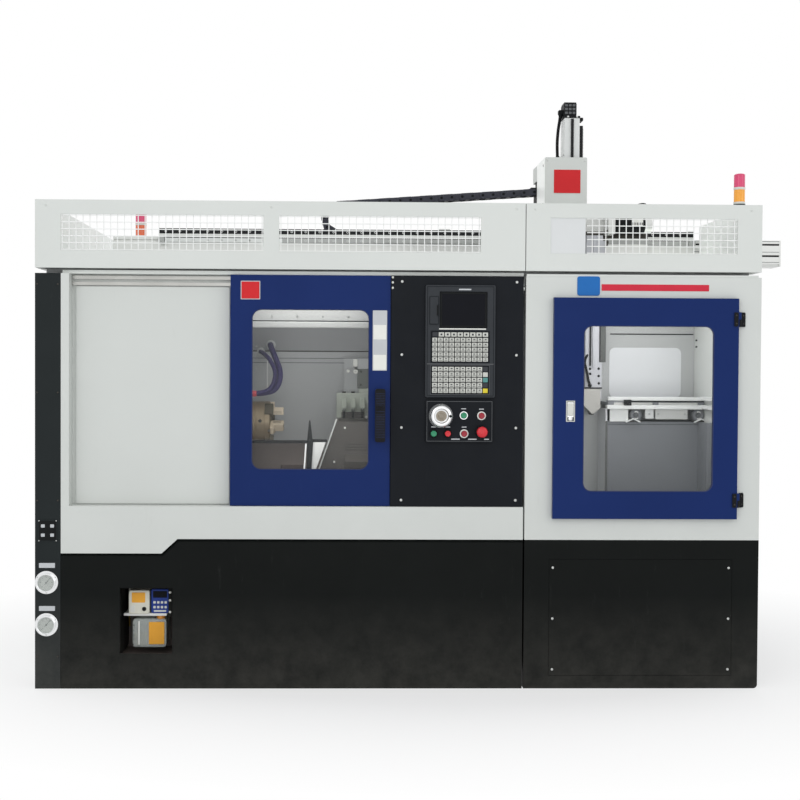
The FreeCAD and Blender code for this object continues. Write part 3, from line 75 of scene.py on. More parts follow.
# ---- what a user may change
class LATHE_PG_colours(bpy.types.PropertyGroup):
    """Paint, plastic and rubber colours."""
    white: bpy.props.FloatVectorProperty(
        name="Cabinet white", description="Powder coat of the cabinets and the guard",
        default=rgb(214, 217, 213), **PAINT)
    blue: bpy.props.FloatVectorProperty(
        name="Door blue", description="Paint of both doors", default=rgb(20, 43, 100), **PAINT)
    black: bpy.props.FloatVectorProperty(
        name="Base black", description="Paint of the base", default=rgb(15, 18, 17), **PAINT)
    inside: bpy.props.FloatVectorProperty(
        name="Chamber grey", description="Paint inside the cabinets", default=rgb(184, 186, 186), **PAINT)
    hose: bpy.props.FloatVectorProperty(
        name="Hose purple", description="Coolant hoses", default=rgb(66, 60, 100), **PAINT)
    lamp_red: bpy.props.FloatVectorProperty(
        name="Lamp red", description="Upper lens of the signal towers", default=rgb(214, 48, 104), **PAINT)
    lamp_amber: bpy.props.FloatVectorProperty(
        name="Lamp amber", description="Lower lens of the front signal tower", default=rgb(240, 160, 24),
        **PAINT)


class LATHE_PG_sizes(bpy.types.PropertyGroup):
    """Sizes of the detail pieces."""
    screw_head: bpy.props.FloatProperty(
        name="Screw head radius", description="Cover screws", default=0.0055, min=0.002, max=0.01, **LENGTH)
    gasket: bpy.props.FloatProperty(
        name="Gasket width", description="Rubber strip round each door window", default=0.0028,
        min=0.002, max=0.012, **LENGTH)
    key_gap: bpy.props.FloatProperty(
        name="Key gap", description="Gap between two keys", default=0.003, min=0.001, max=0.006, **LENGTH)
    rack_pitch: bpy.props.FloatProperty(
        name="Rack pitch", description="Pitch of the arm racks", default=0.0063, min=0.004, max=0.02,
        **LENGTH)
    louvre_count: bpy.props.IntProperty(
        name="Louvres", description="Louvres in each grille", default=11, min=4, max=20)
    pane_clearness: bpy.props.FloatProperty(
        name="Pane tint", description="How much of a pane is seen", default=0.08, min=0.02, max=0.9,
        subtype="FACTOR")
    lamp_power: bpy.props.FloatProperty(
        name="Studio light", description="Power of the main studio lamp", default=50.0, min=5.0,
        max=3000.0, unit="POWER")


# ---- places and hand tools
def at(x, depth, z):
    """Point of the row frame for machine sizes in millimetres."""
    return Vector(((x - MIDDLE_X) * MM, (depth - MIDDLE_DEPTH) * MM, z * MM))


def ready():
    """Object mode with nothing selected."""
    if bpy.context.mode != "OBJECT":
        bpy.ops.object.mode_set(mode="OBJECT")
    bpy.ops.object.select_all(action="DESELECT")


def pick(piece):
    """Select one piece and make it active."""
    ready()
    piece.select_set(True)
    bpy.context.view_layer.objects.active = piece


def settle(piece, finish):
    """Put the place of a primitive into its mesh and give it one finish."""
    bpy.ops.object.transform_apply(location=True, rotation=True, scale=True)
    piece.data.materials.clear()
    piece.data.materials.append(bpy.data.materials[finish])
    return piece


def soften(piece, width, steps=1):
    """Break the edges of a piece."""
    pick(piece)
    bevel = piece.modifiers.new("edge", "BEVEL")
    bevel.width = width * MM
    bevel.segments = steps
    bevel.limit_method = "ANGLE"
    bevel.angle_limit = SHARP_EDGE
    bpy.ops.object.modifier_apply(modifier="edge")
    return piece


def block(x, depth, z, finish, edge=0.0, steps=1):
    """Block between machine sizes, with broken edges."""
    ready()
    low = at(x[0], depth[0], z[0])
    high = at(x[1], depth[1], z[1])
    bpy.ops.mesh.primitive_cube_add(size=1.0, location=(low + high) / 2, scale=high - low)
    piece = settle(bpy.context.object, finish)
    if edge:
        soften(piece, edge, steps)
    return piece


def carve(piece, cutter):
    """Cut a piece away from another."""
    pick(piece)
    cut = piece.modifiers.new("cut", "BOOLEAN")
    cut.operation = "DIFFERENCE"
    cut.solver = "EXACT"
    cut.object = cutter
    bpy.ops.object.modifier_apply(modifier="cut")
    mesh = cutter.data
    bpy.data.objects.remove(cutter)
    bpy.data.meshes.remove(mesh)
    return piece


def rounded(x, depth, z, radius, finish, edge=0.0, along="d"):
    """Block whose four edges along one direction are round."""
    piece = block(x, depth, z, finish)
    pick(piece)
    bpy.ops.object.mode_set(mode="EDIT")
    bpy.ops.mesh.select_all(action="DESELECT")
    bpy.ops.object.mode_set(mode="OBJECT")
    axis = {"x": 0, "d": 1, "z": 2}[along]
    for line in piece.data.edges:
        a, b = (piece.data.vertices[i].co for i in line.vertices)
        line.select = abs((b - a)[axis]) > 0.9 * (b - a).length
    bpy.ops.object.mode_set(mode="EDIT")
    bpy.ops.mesh.select_mode(type="EDGE")
    bpy.ops.mesh.bevel(offset=radius * MM, segments=CORNER_STEPS, affect="EDGES")
    bpy.ops.object.mode_set(mode="OBJECT")
    if edge:
        soften(piece, edge)
    return piece


TURNS = {
    "x": (Vector((1, 0, 0)), (0.0, math.pi / 2, 0.0)),
    "d": (Vector((0, 1, 0)), (-math.pi / 2, 0.0, 0.0)),
    "z": (Vector((0, 0, 1)), (0.0, 0.0, 0.0)),
}


def turned(place, axis, profile, finish, sides=32, hollow=False):
    """Round part drawn out of a circle through rows of (distance along the axis, radius)."""
    ready()
    along, tilt = TURNS[axis]
    base = at(*place)
    here, width = profile[0]
    bpy.ops.mesh.primitive_circle_add(vertices=sides, radius=width * MM, rotation=tilt,
                                      location=base + along * here * MM,
                                      fill_type="NOTHING" if hollow else "NGON")
    piece = settle(bpy.context.object, finish)
    bpy.ops.object.mode_set(mode="EDIT")
    bpy.ops.mesh.select_all(action="SELECT")
    for station, radius in profile[1:]:
        bpy.ops.mesh.extrude_region_move(TRANSFORM_OT_translate={"value": along * (station - here) * MM})
        if abs(radius - width) > TINY:
            grow = radius / width
            bpy.ops.transform.resize(value=(grow, grow, grow), center_override=base + along * station * MM)
        here, width = station, radius
    bpy.ops.mesh.select_all(action="SELECT")
    bpy.ops.mesh.remove_doubles(threshold=1e-7)
    bpy.ops.mesh.normals_make_consistent(inside=False)
    bpy.ops.object.mode_set(mode="OBJECT")
    return piece


def saw(piece, point, outward):
    """Saw a piece off along a plane and close the cut."""
    pick(piece)
    bpy.ops.object.mode_set(mode="EDIT")
    bpy.ops.mesh.select_all(action="SELECT")
    bpy.ops.mesh.bisect(plane_co=point, plane_no=Vector(outward).normalized(), use_fill=True, clear_outer=True)
    bpy.ops.object.mode_set(mode="OBJECT")
    return piece


def sawn(corners, depth, finish, edge=0.0):
    """Plate sawn to a convex outline of (x, z) corners."""
    xs = [x for x, z in corners]
    zs = [z for x, z in corners]
    piece = block((min(xs), max(xs)), depth, (min(zs), max(zs)), finish)
    centre = Vector((sum(xs) / len(xs), sum(zs) / len(zs)))
    for (x0, z0), (x1, z1) in zip(corners, corners[1:] + corners[:1]):
        upright = abs(x0 - x1) < TINY and x0 in (min(xs), max(xs))
        level = abs(z0 - z1) < TINY and z0 in (min(zs), max(zs))
        if upright or level:
            continue
        side = Vector((z1 - z0, x0 - x1))
        if side.dot(Vector((x0, z0)) - centre) < 0:
            side.negate()
        saw(piece, at(x0, depth[0], z0), (side.x, 0.0, side.y))
    if edge:
        soften(piece, edge)
    return piece


def repeated(piece, count, step):
    """Row of equal shapes in one mesh."""
    pick(piece)
    row = piece.modifiers.new("row", "ARRAY")
    row.count = count
    row.use_relative_offset = False
    row.use_constant_offset = True
    row.constant_offset_displace = (step[0] * MM, step[1] * MM, step[2] * MM)
    bpy.ops.object.modifier_apply(modifier="row")
    return piece


def copied(piece):
    """Copy of a part, with its own mesh."""
    pick(piece)
    bpy.ops.object.duplicate(linked=False)
    return bpy.context.object


def spun(piece, place, axis, angle):
    """Turn a part by degrees about a line through a place, along the frame's X or Y."""
    centre = at(*place)
    piece.matrix_world = (Matrix.Translation(centre) @ Matrix.Rotation(math.radians(angle), 4, axis)
                          @ Matrix.Translation(-centre))
    pick(piece)
    bpy.ops.object.transform_apply(location=True, rotation=True, scale=True)
    return piece


def joined(parts):
    """Join parts to the first of them."""
    ready()
    for part in parts:
        part.select_set(True)
    bpy.context.view_layer.objects.active = parts[0]
    if len(parts) > 1:
        bpy.ops.object.join()
    return bpy.context.object


def assemble(name, parts, body, angle=32.0):
    """Join parts to one named piece that rides on a body."""
    piece = joined(parts)
    piece.name = name
    piece.data.name = name
    bpy.ops.object.shade_smooth_by_angle(angle=math.radians(angle))
    if body:
        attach(piece, body)
    return piece


def line_of(name, points, radius, finish, rounds):
    """Round cord on a smooth spline through machine points."""
    curve = bpy.data.curves.new(name, "CURVE")
    curve.dimensions = "3D"
    spline = curve.splines.new("NURBS")
    spline.points.add(len(points) - 1)
    for knot, point in zip(spline.points, points):
        knot.co = (*at(*point), 1.0)
    spline.order_u = 3
    spline.use_endpoint_u = True
    curve.resolution_u = 10
    curve.bevel_depth = radius * MM
    curve.bevel_resolution = rounds
    curve.use_fill_caps = True
    curve.materials.append(bpy.data.materials[finish])
    cord = bpy.data.objects.new(name, curve)
    bpy.context.scene.collection.objects.link(cord)
    return cord


def pipe(points, radius, finish):
    """Fixed pipe or wire as a mesh."""
    cord = line_of("pipe", points, radius, finish, 3)
    pick(cord)
    bpy.ops.object.convert(target="MESH")
    return bpy.context.object


def spline_points(cord):
    """Centreline of a cord, read from its spline."""
    bare = cord.data.copy()
    bare.bevel_depth = 0.0
    held = bpy.data.objects.new("centreline", bare)
    bpy.context.scene.collection.objects.link(held)
    graph = bpy.context.evaluated_depsgraph_get()
    graph.update()
    mesh = bpy.data.meshes.new_from_object(held.evaluated_get(graph))
    points = [vertex.co.copy() for vertex in mesh.vertices]
    bpy.data.objects.remove(held)
    bpy.data.curves.remove(bare)
    bpy.data.meshes.remove(mesh)
    return points


def socket_screw(x, depth, z, radius=None, finish="zinc"):
    """Cover screw on a front face: domed head with a sunk socket."""
    size = radius or bpy.context.scene.lathe_sizes.screw_head / MM
    profile = [(0.0, size), (-0.35 * size, size), (-0.6 * size, 0.82 * size), (-0.68 * size, 0.5 * size),
               (-0.3 * size, 0.42 * size)]
    return turned((x, depth, z), "d", profile, finish, 14)


FACINGS = {"right": ("x", 1), "left": ("x", -1), "up": ("z", 1), "back": ("d", 1), "front": ("d", -1)}


def washer_screw(x, depth, z, facing, size, finish="zinc"):
    """Screw with a washer on a face that looks right, left, up, back or to the front."""
    axis, way = FACINGS[facing]
    profile = [(0.0, size), (way * 1.2, size), (way * 1.2, 0.7 * size), (way * 4.2, 0.62 * size),
               (way * 4.2, 0.34 * size), (way * 2.0, 0.3 * size)]
    return turned((x, depth, z), axis, profile, finish, 16)


# ---- finishes
class Nodes:
    """Nodes of one tree, added with their settings and links."""

    def __init__(self, tree):
        self.tree = tree

    def put(self, socket, value):
        """Link a socket to another one, or give it a value."""
        if isinstance(value, bpy.types.NodeSocket):
            self.tree.links.new(value, socket)
        else:
            socket.default_value = value

    def add(self, kind, settings=None, sockets=None):
        node = self.tree.nodes.new(kind)
        for name, value in (settings or {}).items():
            setattr(node, name, value)
        for name, value in (sockets or {}).items():
            self.put(node.inputs[name], value)
        return node

    def direct_rays(self):
        """One for rays that come from the camera, a mirror or a pane, else nought."""
        path = self.add("ShaderNodeLightPath").outputs
        seen = path["Is Camera Ray"]
        for kind in ("Is Glossy Ray", "Is Transmission Ray"):
            seen = self.add("ShaderNodeMath", {"operation": "MAXIMUM"}, {0: seen, 1: path[kind]}).outputs[0]
        return seen


class Recipe(Nodes):
    """Node tree of one finish."""

    def __init__(self, name):
        self.material = bpy.data.materials.new(name)
        self.material.use_nodes = True
        super().__init__(self.material.node_tree)
        self.shader = self.tree.nodes["Principled BSDF"]
        self.place = self.add("ShaderNodeTexCoord").outputs["Object"]

    def stretched(self, scale):
        return self.add("ShaderNodeMapping", None, {"Vector": self.place, "Scale": scale}).outputs["Vector"]

    def height(self):
        return self.add("ShaderNodeSeparateXYZ", None, {0: self.place}).outputs["Z"]

    def noise(self, scale, detail=3.0, rough=0.55, vector=None):
        made = self.add("ShaderNodeTexNoise", None, {"Vector": vector or self.place, "Scale": scale,
                                                     "Detail": detail, "Roughness": rough})
        return made.outputs["Fac"]

    def ranged(self, value, low, high, new_low, new_high):
        made = self.add("ShaderNodeMapRange", None, {"Value": value, "From Min": low, "From Max": high,
                                                     "To Min": new_low, "To Max": new_high})
        return made.outputs["Result"]

    def times(self, a, b):
        return self.add("ShaderNodeMath", {"operation": "MULTIPLY"}, {0: a, 1: b}).outputs[0]

    def mixed(self, share, a, b):
        return self.add("ShaderNodeMix", {"data_type": "RGBA"}, {0: share, 6: a, 7: b}).outputs[2]

    def feed(self, name, value):
        self.put(self.shader.inputs[name], value)


def full(colour, factor=1.0):
    """Four-part colour, made lighter or darker."""
    return (*(min(1.0, part * factor) for part in colour[:3]), 1.0)


def finish(name, colour, other, patch, rough, grain, lift, reach, lay=(1.0, 1.0, 1.0), marks=0.0,
           mark_colour=None, dust=0.0, dust_top=0.5, speck=0.0, shine=0.5, cap=None, fixed=None):
    """Finish with two close tones, fine relief and changing gloss.

    It may have rubbed marks, settled dust up to a height, specks and another colour above a height.
    """
    recipe = Recipe(name)
    large = recipe.noise(patch, 4.0)
    grained = recipe.stretched(lay)
    tone = recipe.mixed(recipe.ranged(large, 0.35, 0.68, 0.0, 1.0), full(colour), full(colour, other))
    fine = recipe.noise(grain, 2.0, 0.6, grained)
    gloss = recipe.ranged(recipe.noise(patch * 4.0, 5.0, 0.7, grained), 0.3, 0.7, rough[0], rough[1])
    if speck:
        spots = recipe.ranged(recipe.noise(grain * 0.4, 1.0, 0.5), 0.60, 0.68, 0.0, speck)
        tone = recipe.mixed(spots, tone, full(colour, 0.6))
    if marks:
        thin = recipe.noise(34.0, 6.0, 0.75, recipe.stretched((1.0, 1.0, 0.16)))
        rubbed = recipe.times(recipe.ranged(thin, 0.60, 0.70, 0.0, 1.0),
                              recipe.ranged(large, 0.48, 0.66, 0.0, marks))
        tone = recipe.mixed(rubbed, tone, full(mark_colour or colour, 1.0 if mark_colour else 1.6))
    if dust:
        settled = recipe.times(recipe.ranged(recipe.height(), 0.0, dust_top, dust, 0.0),
                               recipe.ranged(recipe.noise(11.0, 6.0, 0.7), 0.3, 0.7, 0.25, 1.0))
        tone = recipe.mixed(settled, tone, full(rgb(150, 146, 138)))
    if cap:
        end, colour_above = cap
        above = recipe.ranged(recipe.height(), end - 0.0002, end, 0.0, 1.0)
        tone = recipe.mixed(above, tone, full(colour_above))
    bump = recipe.add("ShaderNodeBump", None, {"Height": fine, "Strength": lift, "Distance": reach})
    recipe.feed("Specular IOR Level", shine)
    recipe.feed("Base Color", tone)
    recipe.feed("Roughness", gloss)
    recipe.feed("Normal", bump.outputs["Normal"])
    for socket, value in (fixed or {}).items():
        recipe.feed(socket, value)
    return recipe.material


def lit(colour, strength):
    """Sockets of a surface that shines by itself."""
    return {"Emission Color": colour, "Emission Strength": strength}


def metal(share):
    """Socket of a metal surface."""
    return {"Metallic": share}


# Kinds of surface: lowest and highest roughness, grain, strength of the relief and its depth in metres
POWDER = ((0.34, 0.5), 520.0, 0.1, 0.0003)
POWDER_EVEN = ((0.34, 0.48), 520.0, 0.1, 0.0003)
MOULDED = ((0.45, 0.6), 1600.0, 0.35, 0.0002)
MILLED = ((0.34, 0.5), 800.0, 0.2, 0.0002)
ENAMEL = ((0.32, 0.46), 620.0, 0.1, 0.0003)
PRINTED = ((0.28, 0.4), 900.0, 0.08, 0.0001)
PUSHED = ((0.2, 0.32), 900.0, 0.06, 0.0001)
LENS = ((0.12, 0.22), 300.0, 0.05, 0.0002)
KEYCAP = ((0.4, 0.52), 1800.0, 0.25, 0.0001)
KEYCAP_FLAT = ((0.4, 0.52), 1800.0, 0.2, 0.0001)
CAST_PLASTIC = ((0.35, 0.5), 1300.0, 0.2, 0.0002)
DIAL = ((0.4, 0.5), 900.0, 0.08, 0.0001)
BUTTON_COAT = {"Coat Weight": 0.4, "Coat Roughness": 0.12}
LENS_COAT = {"Coat Weight": 0.6, "Coat Roughness": 0.08}


class LATHE_OT_finishes(bpy.types.Operator):
    """Make every finish and give one to each part of the frame"""
    bl_idname = "lathe.finishes"
    bl_label = "Finishes"

    def execute(self, context):
        tones = context.scene.lathe_colours
        tint = context.scene.lathe_sizes.pane_clearness
        dark = rgb(24, 26, 27)
        finish("cabinet white", tones.white, 0.955, 1.4, *POWDER, marks=0.25,
               mark_colour=rgb(188, 188, 182), dust=0.10, dust_top=0.9)
        finish("guard white", full(tones.white, 1.06)[:3], 0.96, 1.2, *POWDER_EVEN)
        # painted light: a lighter copy of the cabinet white with a faint glow, so the shaded inner faces of the
        # guard ends read as brightly lit
        finish("guard ends white", full(tones.white, 1.12)[:3], 0.97, 1.2, *POWDER_EVEN,
               fixed=lit(WHITE, 0.1))
        # painted light: a lighter copy of the cabinet white with a glow, for the sheet on the loader cover's left
        # face so that face reads as brightly lit
        finish("cover side", full(tones.white, 1.1)[:3], 0.98, 1.2, *POWDER_EVEN,
               fixed=lit(WHITE, 0.25))
        finish("door blue", tones.blue, 0.90, 2.2, (0.3, 0.44), 560.0, 0.09, 0.0003, marks=0.22,
               mark_colour=rgb(42, 64, 120), shine=0.1, fixed={"Coat Weight": 0.03, "Coat Roughness": 0.25})
        finish("base black", tones.black, 0.82, 1.8, (0.36, 0.55), 480.0, 0.14, 0.0004, marks=0.35,
               mark_colour=rgb(50, 52, 50), dust=0.12, dust_top=0.35, shine=0.1)
        finish("console black", full(rgb(23, 26, 31))[:3], 0.86, 2.4, (0.42, 0.58), 900.0, 0.3, 0.0003,
               marks=0.18, mark_colour=rgb(52, 54, 57), shine=0.12)
        finish("column black", rgb(36, 41, 42), 0.88, 2.6, (0.4, 0.55), 900.0, 0.28, 0.0003,
               marks=0.2, mark_colour=rgb(70, 74, 74), dust=0.15, dust_top=0.4, shine=0.12)
        finish("chamber grey", tones.inside, 0.9, 1.6, (0.32, 0.55), 420.0, 0.12, 0.0004, marks=0.4,
               mark_colour=rgb(120, 120, 116), dust=0.12, dust_top=1.0, shine=0.35)
        finish("table grey", rgb(124, 127, 131), 0.92, 2.0, (0.38, 0.55), 900.0, 0.05, 0.0002, marks=0.25,
               mark_colour=rgb(150, 150, 150), shine=0.3)
        finish("cast grey", rgb(130, 119, 114), 0.8, 5.0, (0.45, 0.65), 260.0, 0.4, 0.0008, speck=0.25)
        finish("handle black", rgb(22, 23, 25), 0.8, 9.0, (0.38, 0.5), 1400.0, 0.35, 0.0002,
               marks=0.2, mark_colour=rgb(60, 60, 62), shine=0.14)
        finish("moulded black", dark, 0.85, 12.0, *MOULDED, shine=0.12)
        finish("chain grey", rgb(62, 63, 72), 0.85, 12.0, *MOULDED, shine=0.2)
        finish("chain pale", rgb(104, 106, 114), 0.9, 12.0, *MOULDED, shine=0.2)
        finish("ground steel", rgb(188, 188, 184), 0.86, 8.0, (0.22, 0.38), 900.0, 0.18, 0.0002,
               lay=(0.05, 1.0, 1.0), fixed=metal(1.0))
        # steel colour of the chuck, warmed brown to paint in the warm reflection on its metal
        finish("turned steel", rgb(172, 155, 128), 0.84, 9.0, (0.26, 0.44), 700.0, 0.25, 0.0002,
               lay=(1.0, 0.05, 0.05), fixed=metal(0.5))
        finish("jaw steel", rgb(226, 211, 186), 0.86, 14.0, (0.3, 0.46), 900.0, 0.2, 0.0002,
               lay=(0.2, 1.0, 1.0), fixed=metal(0.2))
        finish("wheel steel", rgb(150, 142, 128), 0.84, 30.0, (0.26, 0.44), 900.0, 0.2, 0.0002,
               fixed=metal(0.5))
        finish("rail black", rgb(28, 29, 31), 0.84, 12.0, (0.34, 0.5), 900.0, 0.2, 0.0002,
               lay=(0.05, 1.0, 1.0), marks=0.3, mark_colour=rgb(60, 61, 63), shine=0.2)
        finish("slide brown", rgb(92, 88, 84), 0.88, 4.0, (0.34, 0.52), 1400.0, 0.06, 0.0002,
               marks=0.4, mark_colour=rgb(120, 114, 104), shine=0.3)
        finish("strip brown", rgb(96, 90, 76), 0.88, 9.0, (0.3, 0.48), 900.0, 0.1, 0.0002, shine=0.35,
               fixed=metal(0.3))
        finish("tool grey", rgb(112, 116, 111), 0.9, 9.0, *MILLED, shine=0.35)
        finish("block grey", rgb(182, 188, 176), 0.93, 9.0, *MILLED, shine=0.4)
        finish("band grey", rgb(151, 152, 153), 0.94, 1.6, *POWDER, shine=0.35)
        finish("header grey", rgb(199, 200, 197), 0.96, 1.6, *POWDER, shine=0.35)
        finish("arm pale", rgb(192, 193, 198), 0.96, 5.0, *ENAMEL)
        finish("head grey", rgb(186, 184, 178), 0.96, 5.0, *ENAMEL)
        finish("strip grey", rgb(94, 96, 94), 0.9, 9.0, (0.34, 0.5), 800.0, 0.1, 0.0002, shine=0.3)
        # painted light: pale finish for the plate that stands in for the bright view through the stocker's rear
        # window, and for the side sheet by the table, made light against its shade
        finish("pane white", rgb(219, 221, 223), 0.98, 2.0, (0.3, 0.42), 520.0, 0.05, 0.0002)
        finish("wall pale", rgb(180, 182, 181), 0.95, 1.6, *POWDER, marks=0.2,
               mark_colour=rgb(170, 172, 172), shine=0.35)
        finish("dark steel", rgb(74, 72, 68), 0.82, 12.0, (0.3, 0.48), 800.0, 0.2, 0.0002,
               fixed=metal(0.85))
        finish("zinc", rgb(206, 208, 206), 0.88, 60.0, (0.24, 0.4), 1200.0, 0.15, 0.0001,
               fixed=metal(0.9))
        finish("chrome", rgb(222, 222, 220), 0.94, 30.0, (0.07, 0.16), 900.0, 0.05, 0.0001,
               fixed=metal(1.0))
        finish("pale aluminium", rgb(226, 227, 224), 0.95, 4.0, (0.3, 0.46), 900.0, 0.16, 0.0002,
               lay=(0.04, 1.0, 1.0), fixed=metal(0.35))
        finish("arm white", rgb(228, 230, 228), 0.96, 5.0, *ENAMEL,
               cap=(2.254, dark))
        finish("wire white", rgb(244, 245, 243), 0.96, 40.0, (0.35, 0.5), 900.0, 0.12, 0.0002)
        finish("rail grey", rgb(176, 178, 176), 0.88, 18.0, (0.3, 0.45), 900.0, 0.16, 0.0002,
               lay=(0.05, 1.0, 1.0), marks=0.5, mark_colour=rgb(96, 96, 94), fixed=metal(0.3))
        finish("pale plastic", rgb(218, 219, 212), 0.94, 20.0, (0.35, 0.48), 1500.0, 0.2, 0.0002)
        finish("key pale", rgb(206, 207, 200), 0.93, 90.0, *KEYCAP,
               marks=0.3, mark_colour=rgb(176, 174, 166))
        finish("key dark", rgb(64, 66, 70), 0.85, 90.0, *KEYCAP, shine=0.15)
        finish("key yellow", rgb(226, 206, 44), 0.92, 90.0, *KEYCAP_FLAT)
        finish("key teal", rgb(84, 146, 142), 0.92, 90.0, *KEYCAP_FLAT)
        finish("grey plastic", rgb(96, 98, 100), 0.9, 18.0, (0.42, 0.55), 1500.0, 0.3, 0.0002, shine=0.25)
        finish("bezel grey", rgb(56, 59, 63), 0.9, 16.0, (0.42, 0.55), 1500.0, 0.35, 0.0002, shine=0.14)
        finish("ivory plastic", rgb(222, 220, 206), 0.94, 20.0, *CAST_PLASTIC)
        finish("pump blue", rgb(38, 62, 140), 0.9, 20.0, *CAST_PLASTIC, shine=0.2)
        finish("label amber", rgb(238, 168, 40), 0.95, 30.0, (0.35, 0.5), 1300.0, 0.08, 0.0001)
        finish("cap amber", rgb(206, 132, 40), 0.9, 30.0, (0.32, 0.45), 1300.0, 0.15, 0.0002)
        finish("plain red", rgb(212, 34, 40), 0.93, 14.0, *PRINTED, shine=0.25)
        finish("strip red", rgb(214, 44, 66), 0.94, 20.0, (0.3, 0.42), 900.0, 0.08, 0.0001, shine=0.25)
        finish("plain blue", rgb(28, 108, 184), 0.93, 14.0, *PRINTED, shine=0.25)
        finish("plain pale", rgb(196, 199, 202), 0.95, 12.0, (0.3, 0.45), 900.0, 0.1, 0.0001)
        finish("frosted", rgb(222, 224, 224), 0.97, 3.0, (0.55, 0.7), 1200.0, 0.25, 0.0002)
        finish("button red", rgb(216, 36, 48), 0.88, 70.0, *PUSHED,
               shine=0.3, fixed=BUTTON_COAT)
        finish("button dark red", rgb(160, 26, 44), 0.85, 70.0, *PUSHED,
               shine=0.3, fixed=BUTTON_COAT)
        finish("button green", rgb(36, 142, 100), 0.86, 70.0, *PUSHED,
               shine=0.3, fixed=BUTTON_COAT)
        finish("lens red", tones.lamp_red, 0.85, 20.0, *LENS,
               fixed={**LENS_COAT, **lit(full(tones.lamp_red), 0.12)})
        finish("lens amber", tones.lamp_amber, 0.88, 20.0, *LENS,
               fixed={**LENS_COAT, **lit(full(tones.lamp_amber), 0.12)})
        finish("lens orange", rgb(236, 98, 40), 0.88, 20.0, *LENS,
               fixed=LENS_COAT)
        finish("screen", rgb(13, 15, 23), 0.8, 5.0, (0.1, 0.2), 600.0, 0.03, 0.0001,
               shine=0.06, fixed={"Coat Weight": 0.05, "Coat Roughness": 0.1})
        finish("dial white", rgb(236, 236, 230), 0.97, 30.0, *DIAL)
        finish("dial black", rgb(18, 18, 20), 0.8, 30.0, *DIAL, shine=0.15)
        finish("purple sleeve", tones.hose, 0.8, 26.0, (0.42, 0.6), 380.0, 0.5, 0.0008, speck=0.3, shine=0.2)
        finish("black rubber", rgb(20, 20, 22), 0.8, 26.0, (0.5, 0.68), 700.0, 0.4, 0.0004, shine=0.12)
        finish("fitting red", rgb(196, 84, 92), 0.85, 40.0, (0.3, 0.42), 900.0, 0.15, 0.0002)
        finish("rubber strip", rgb(58, 66, 100), 0.85, 20.0, (0.5, 0.66), 900.0, 0.3, 0.0003, shine=0.15)
        finish("oil", rgb(198, 176, 92), 0.9, 12.0, (0.1, 0.18), 200.0, 0.03, 0.0001,
               fixed={"Alpha": 0.55})
        finish("clear pane", rgb(120, 124, 124), 0.9, 2.5, (0.05, 0.14), 30.0, 0.01, 0.0002,
               fixed={"Alpha": tint, "Specular IOR Level": 0.5})
        finish("clear tank", rgb(206, 212, 208), 0.94, 9.0, (0.08, 0.2), 80.0, 0.04, 0.0002,
               fixed={"Alpha": 0.35})
        finish("fitting orange", rgb(206, 112, 48), 0.88, 30.0, (0.45, 0.6), 900.0, 0.2, 0.0002)
        finish("brass", rgb(196, 164, 92), 0.86, 30.0, (0.24, 0.36), 900.0, 0.12, 0.0002,
               fixed=metal(1.0))
        node_finishes = {
            "cabinet white": ("end_and_rear_covers", "roof_panels", "stocker_front_cover", "lathe_front_cover",
                              "fixed_front_panel", "loader_cover"),
            "guard white": ("guard_fronts",),
            "guard ends white": ("guard_ends",),
            "door blue": ("lathe_door_frame", "stocker_door_frame"),
            "base black": ("left_base_cover", "right_base_cover", "base_access_panel"),
            "console black": ("operator_console", "card_slot_cover"),
            "bezel grey": ("control_unit",),
            "column black": ("left_column_cover",),
            "chamber grey": ("chamber_walls", "neck_rails"),
            "table grey": ("stocker_table",),
            "cast grey": ("bed_casting", "headstock"),
            "ground steel": ("door_rails", "saddle", "gripper_head"),
            "block grey": ("tool_holders",),
            "slide brown": ("cross_slide",),
            "dark steel": ("front_gripper_finger", "rear_gripper_finger"),
            "turned steel": ("chuck_body",),
            "jaw steel": ("chuck_jaw_1", "chuck_jaw_2", "chuck_jaw_3"),
            "chrome": ("gauge_cases", "handwheel", "latch_paddle"),
            "dial black": ("upper_gauge_needle", "lower_gauge_needle"),
            "handle black": ("lathe_door_handle", "stocker_hinge_bases"),
            "moulded black": ("signal_towers", "drag_chain"),
            "clear pane": ("lathe_door_window", "stocker_door_window"),
            "wire white": ("guard_mesh",),
            "frosted": ("guard_pale_plate",),
            "pale aluminium": ("gantry_beam", "gantry_carriage"),
            "arm white": ("upper_arm",),
            "arm pale": ("lower_arm",),
            "ivory plastic": ("lubricator_pump",),
            "clear tank": ("lubricator_reservoir",),
            "purple sleeve": ("coolant_hose",),
            "black rubber": ("arm_cable",),
            "button red": ("emergency_stop", "feed_hold_button", "power_off_button"),
            "button dark red": ("reset_button",),
            "button green": ("cycle_start_button", "power_on_button"),
        }
        given = set()
        for name, nodes in node_finishes.items():
            for node in nodes:
                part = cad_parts[node]
                part.data.materials.clear()
                part.data.materials.append(bpy.data.materials[name])
                given.add(node)
        missing = set(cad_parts) - given
        if missing:
            raise RuntimeError("no finish for " + ", ".join(sorted(missing)))
        return {"FINISHED"}


# ---- stage
CAMERA_PLACE = (-0.41825, -5.2275, 1.20248)
CAMERA_YAW = math.radians(1.2596)
CAMERA_PITCH = math.radians(1.1591)
CAMERA_ROLL = math.radians(0.30217)
LENS_LENGTH = 54.53
SENSOR_WIDTH = 36.0
LENS_SHIFT = (0.0501, -0.0114)
FLOOR_SIZE = 60.0

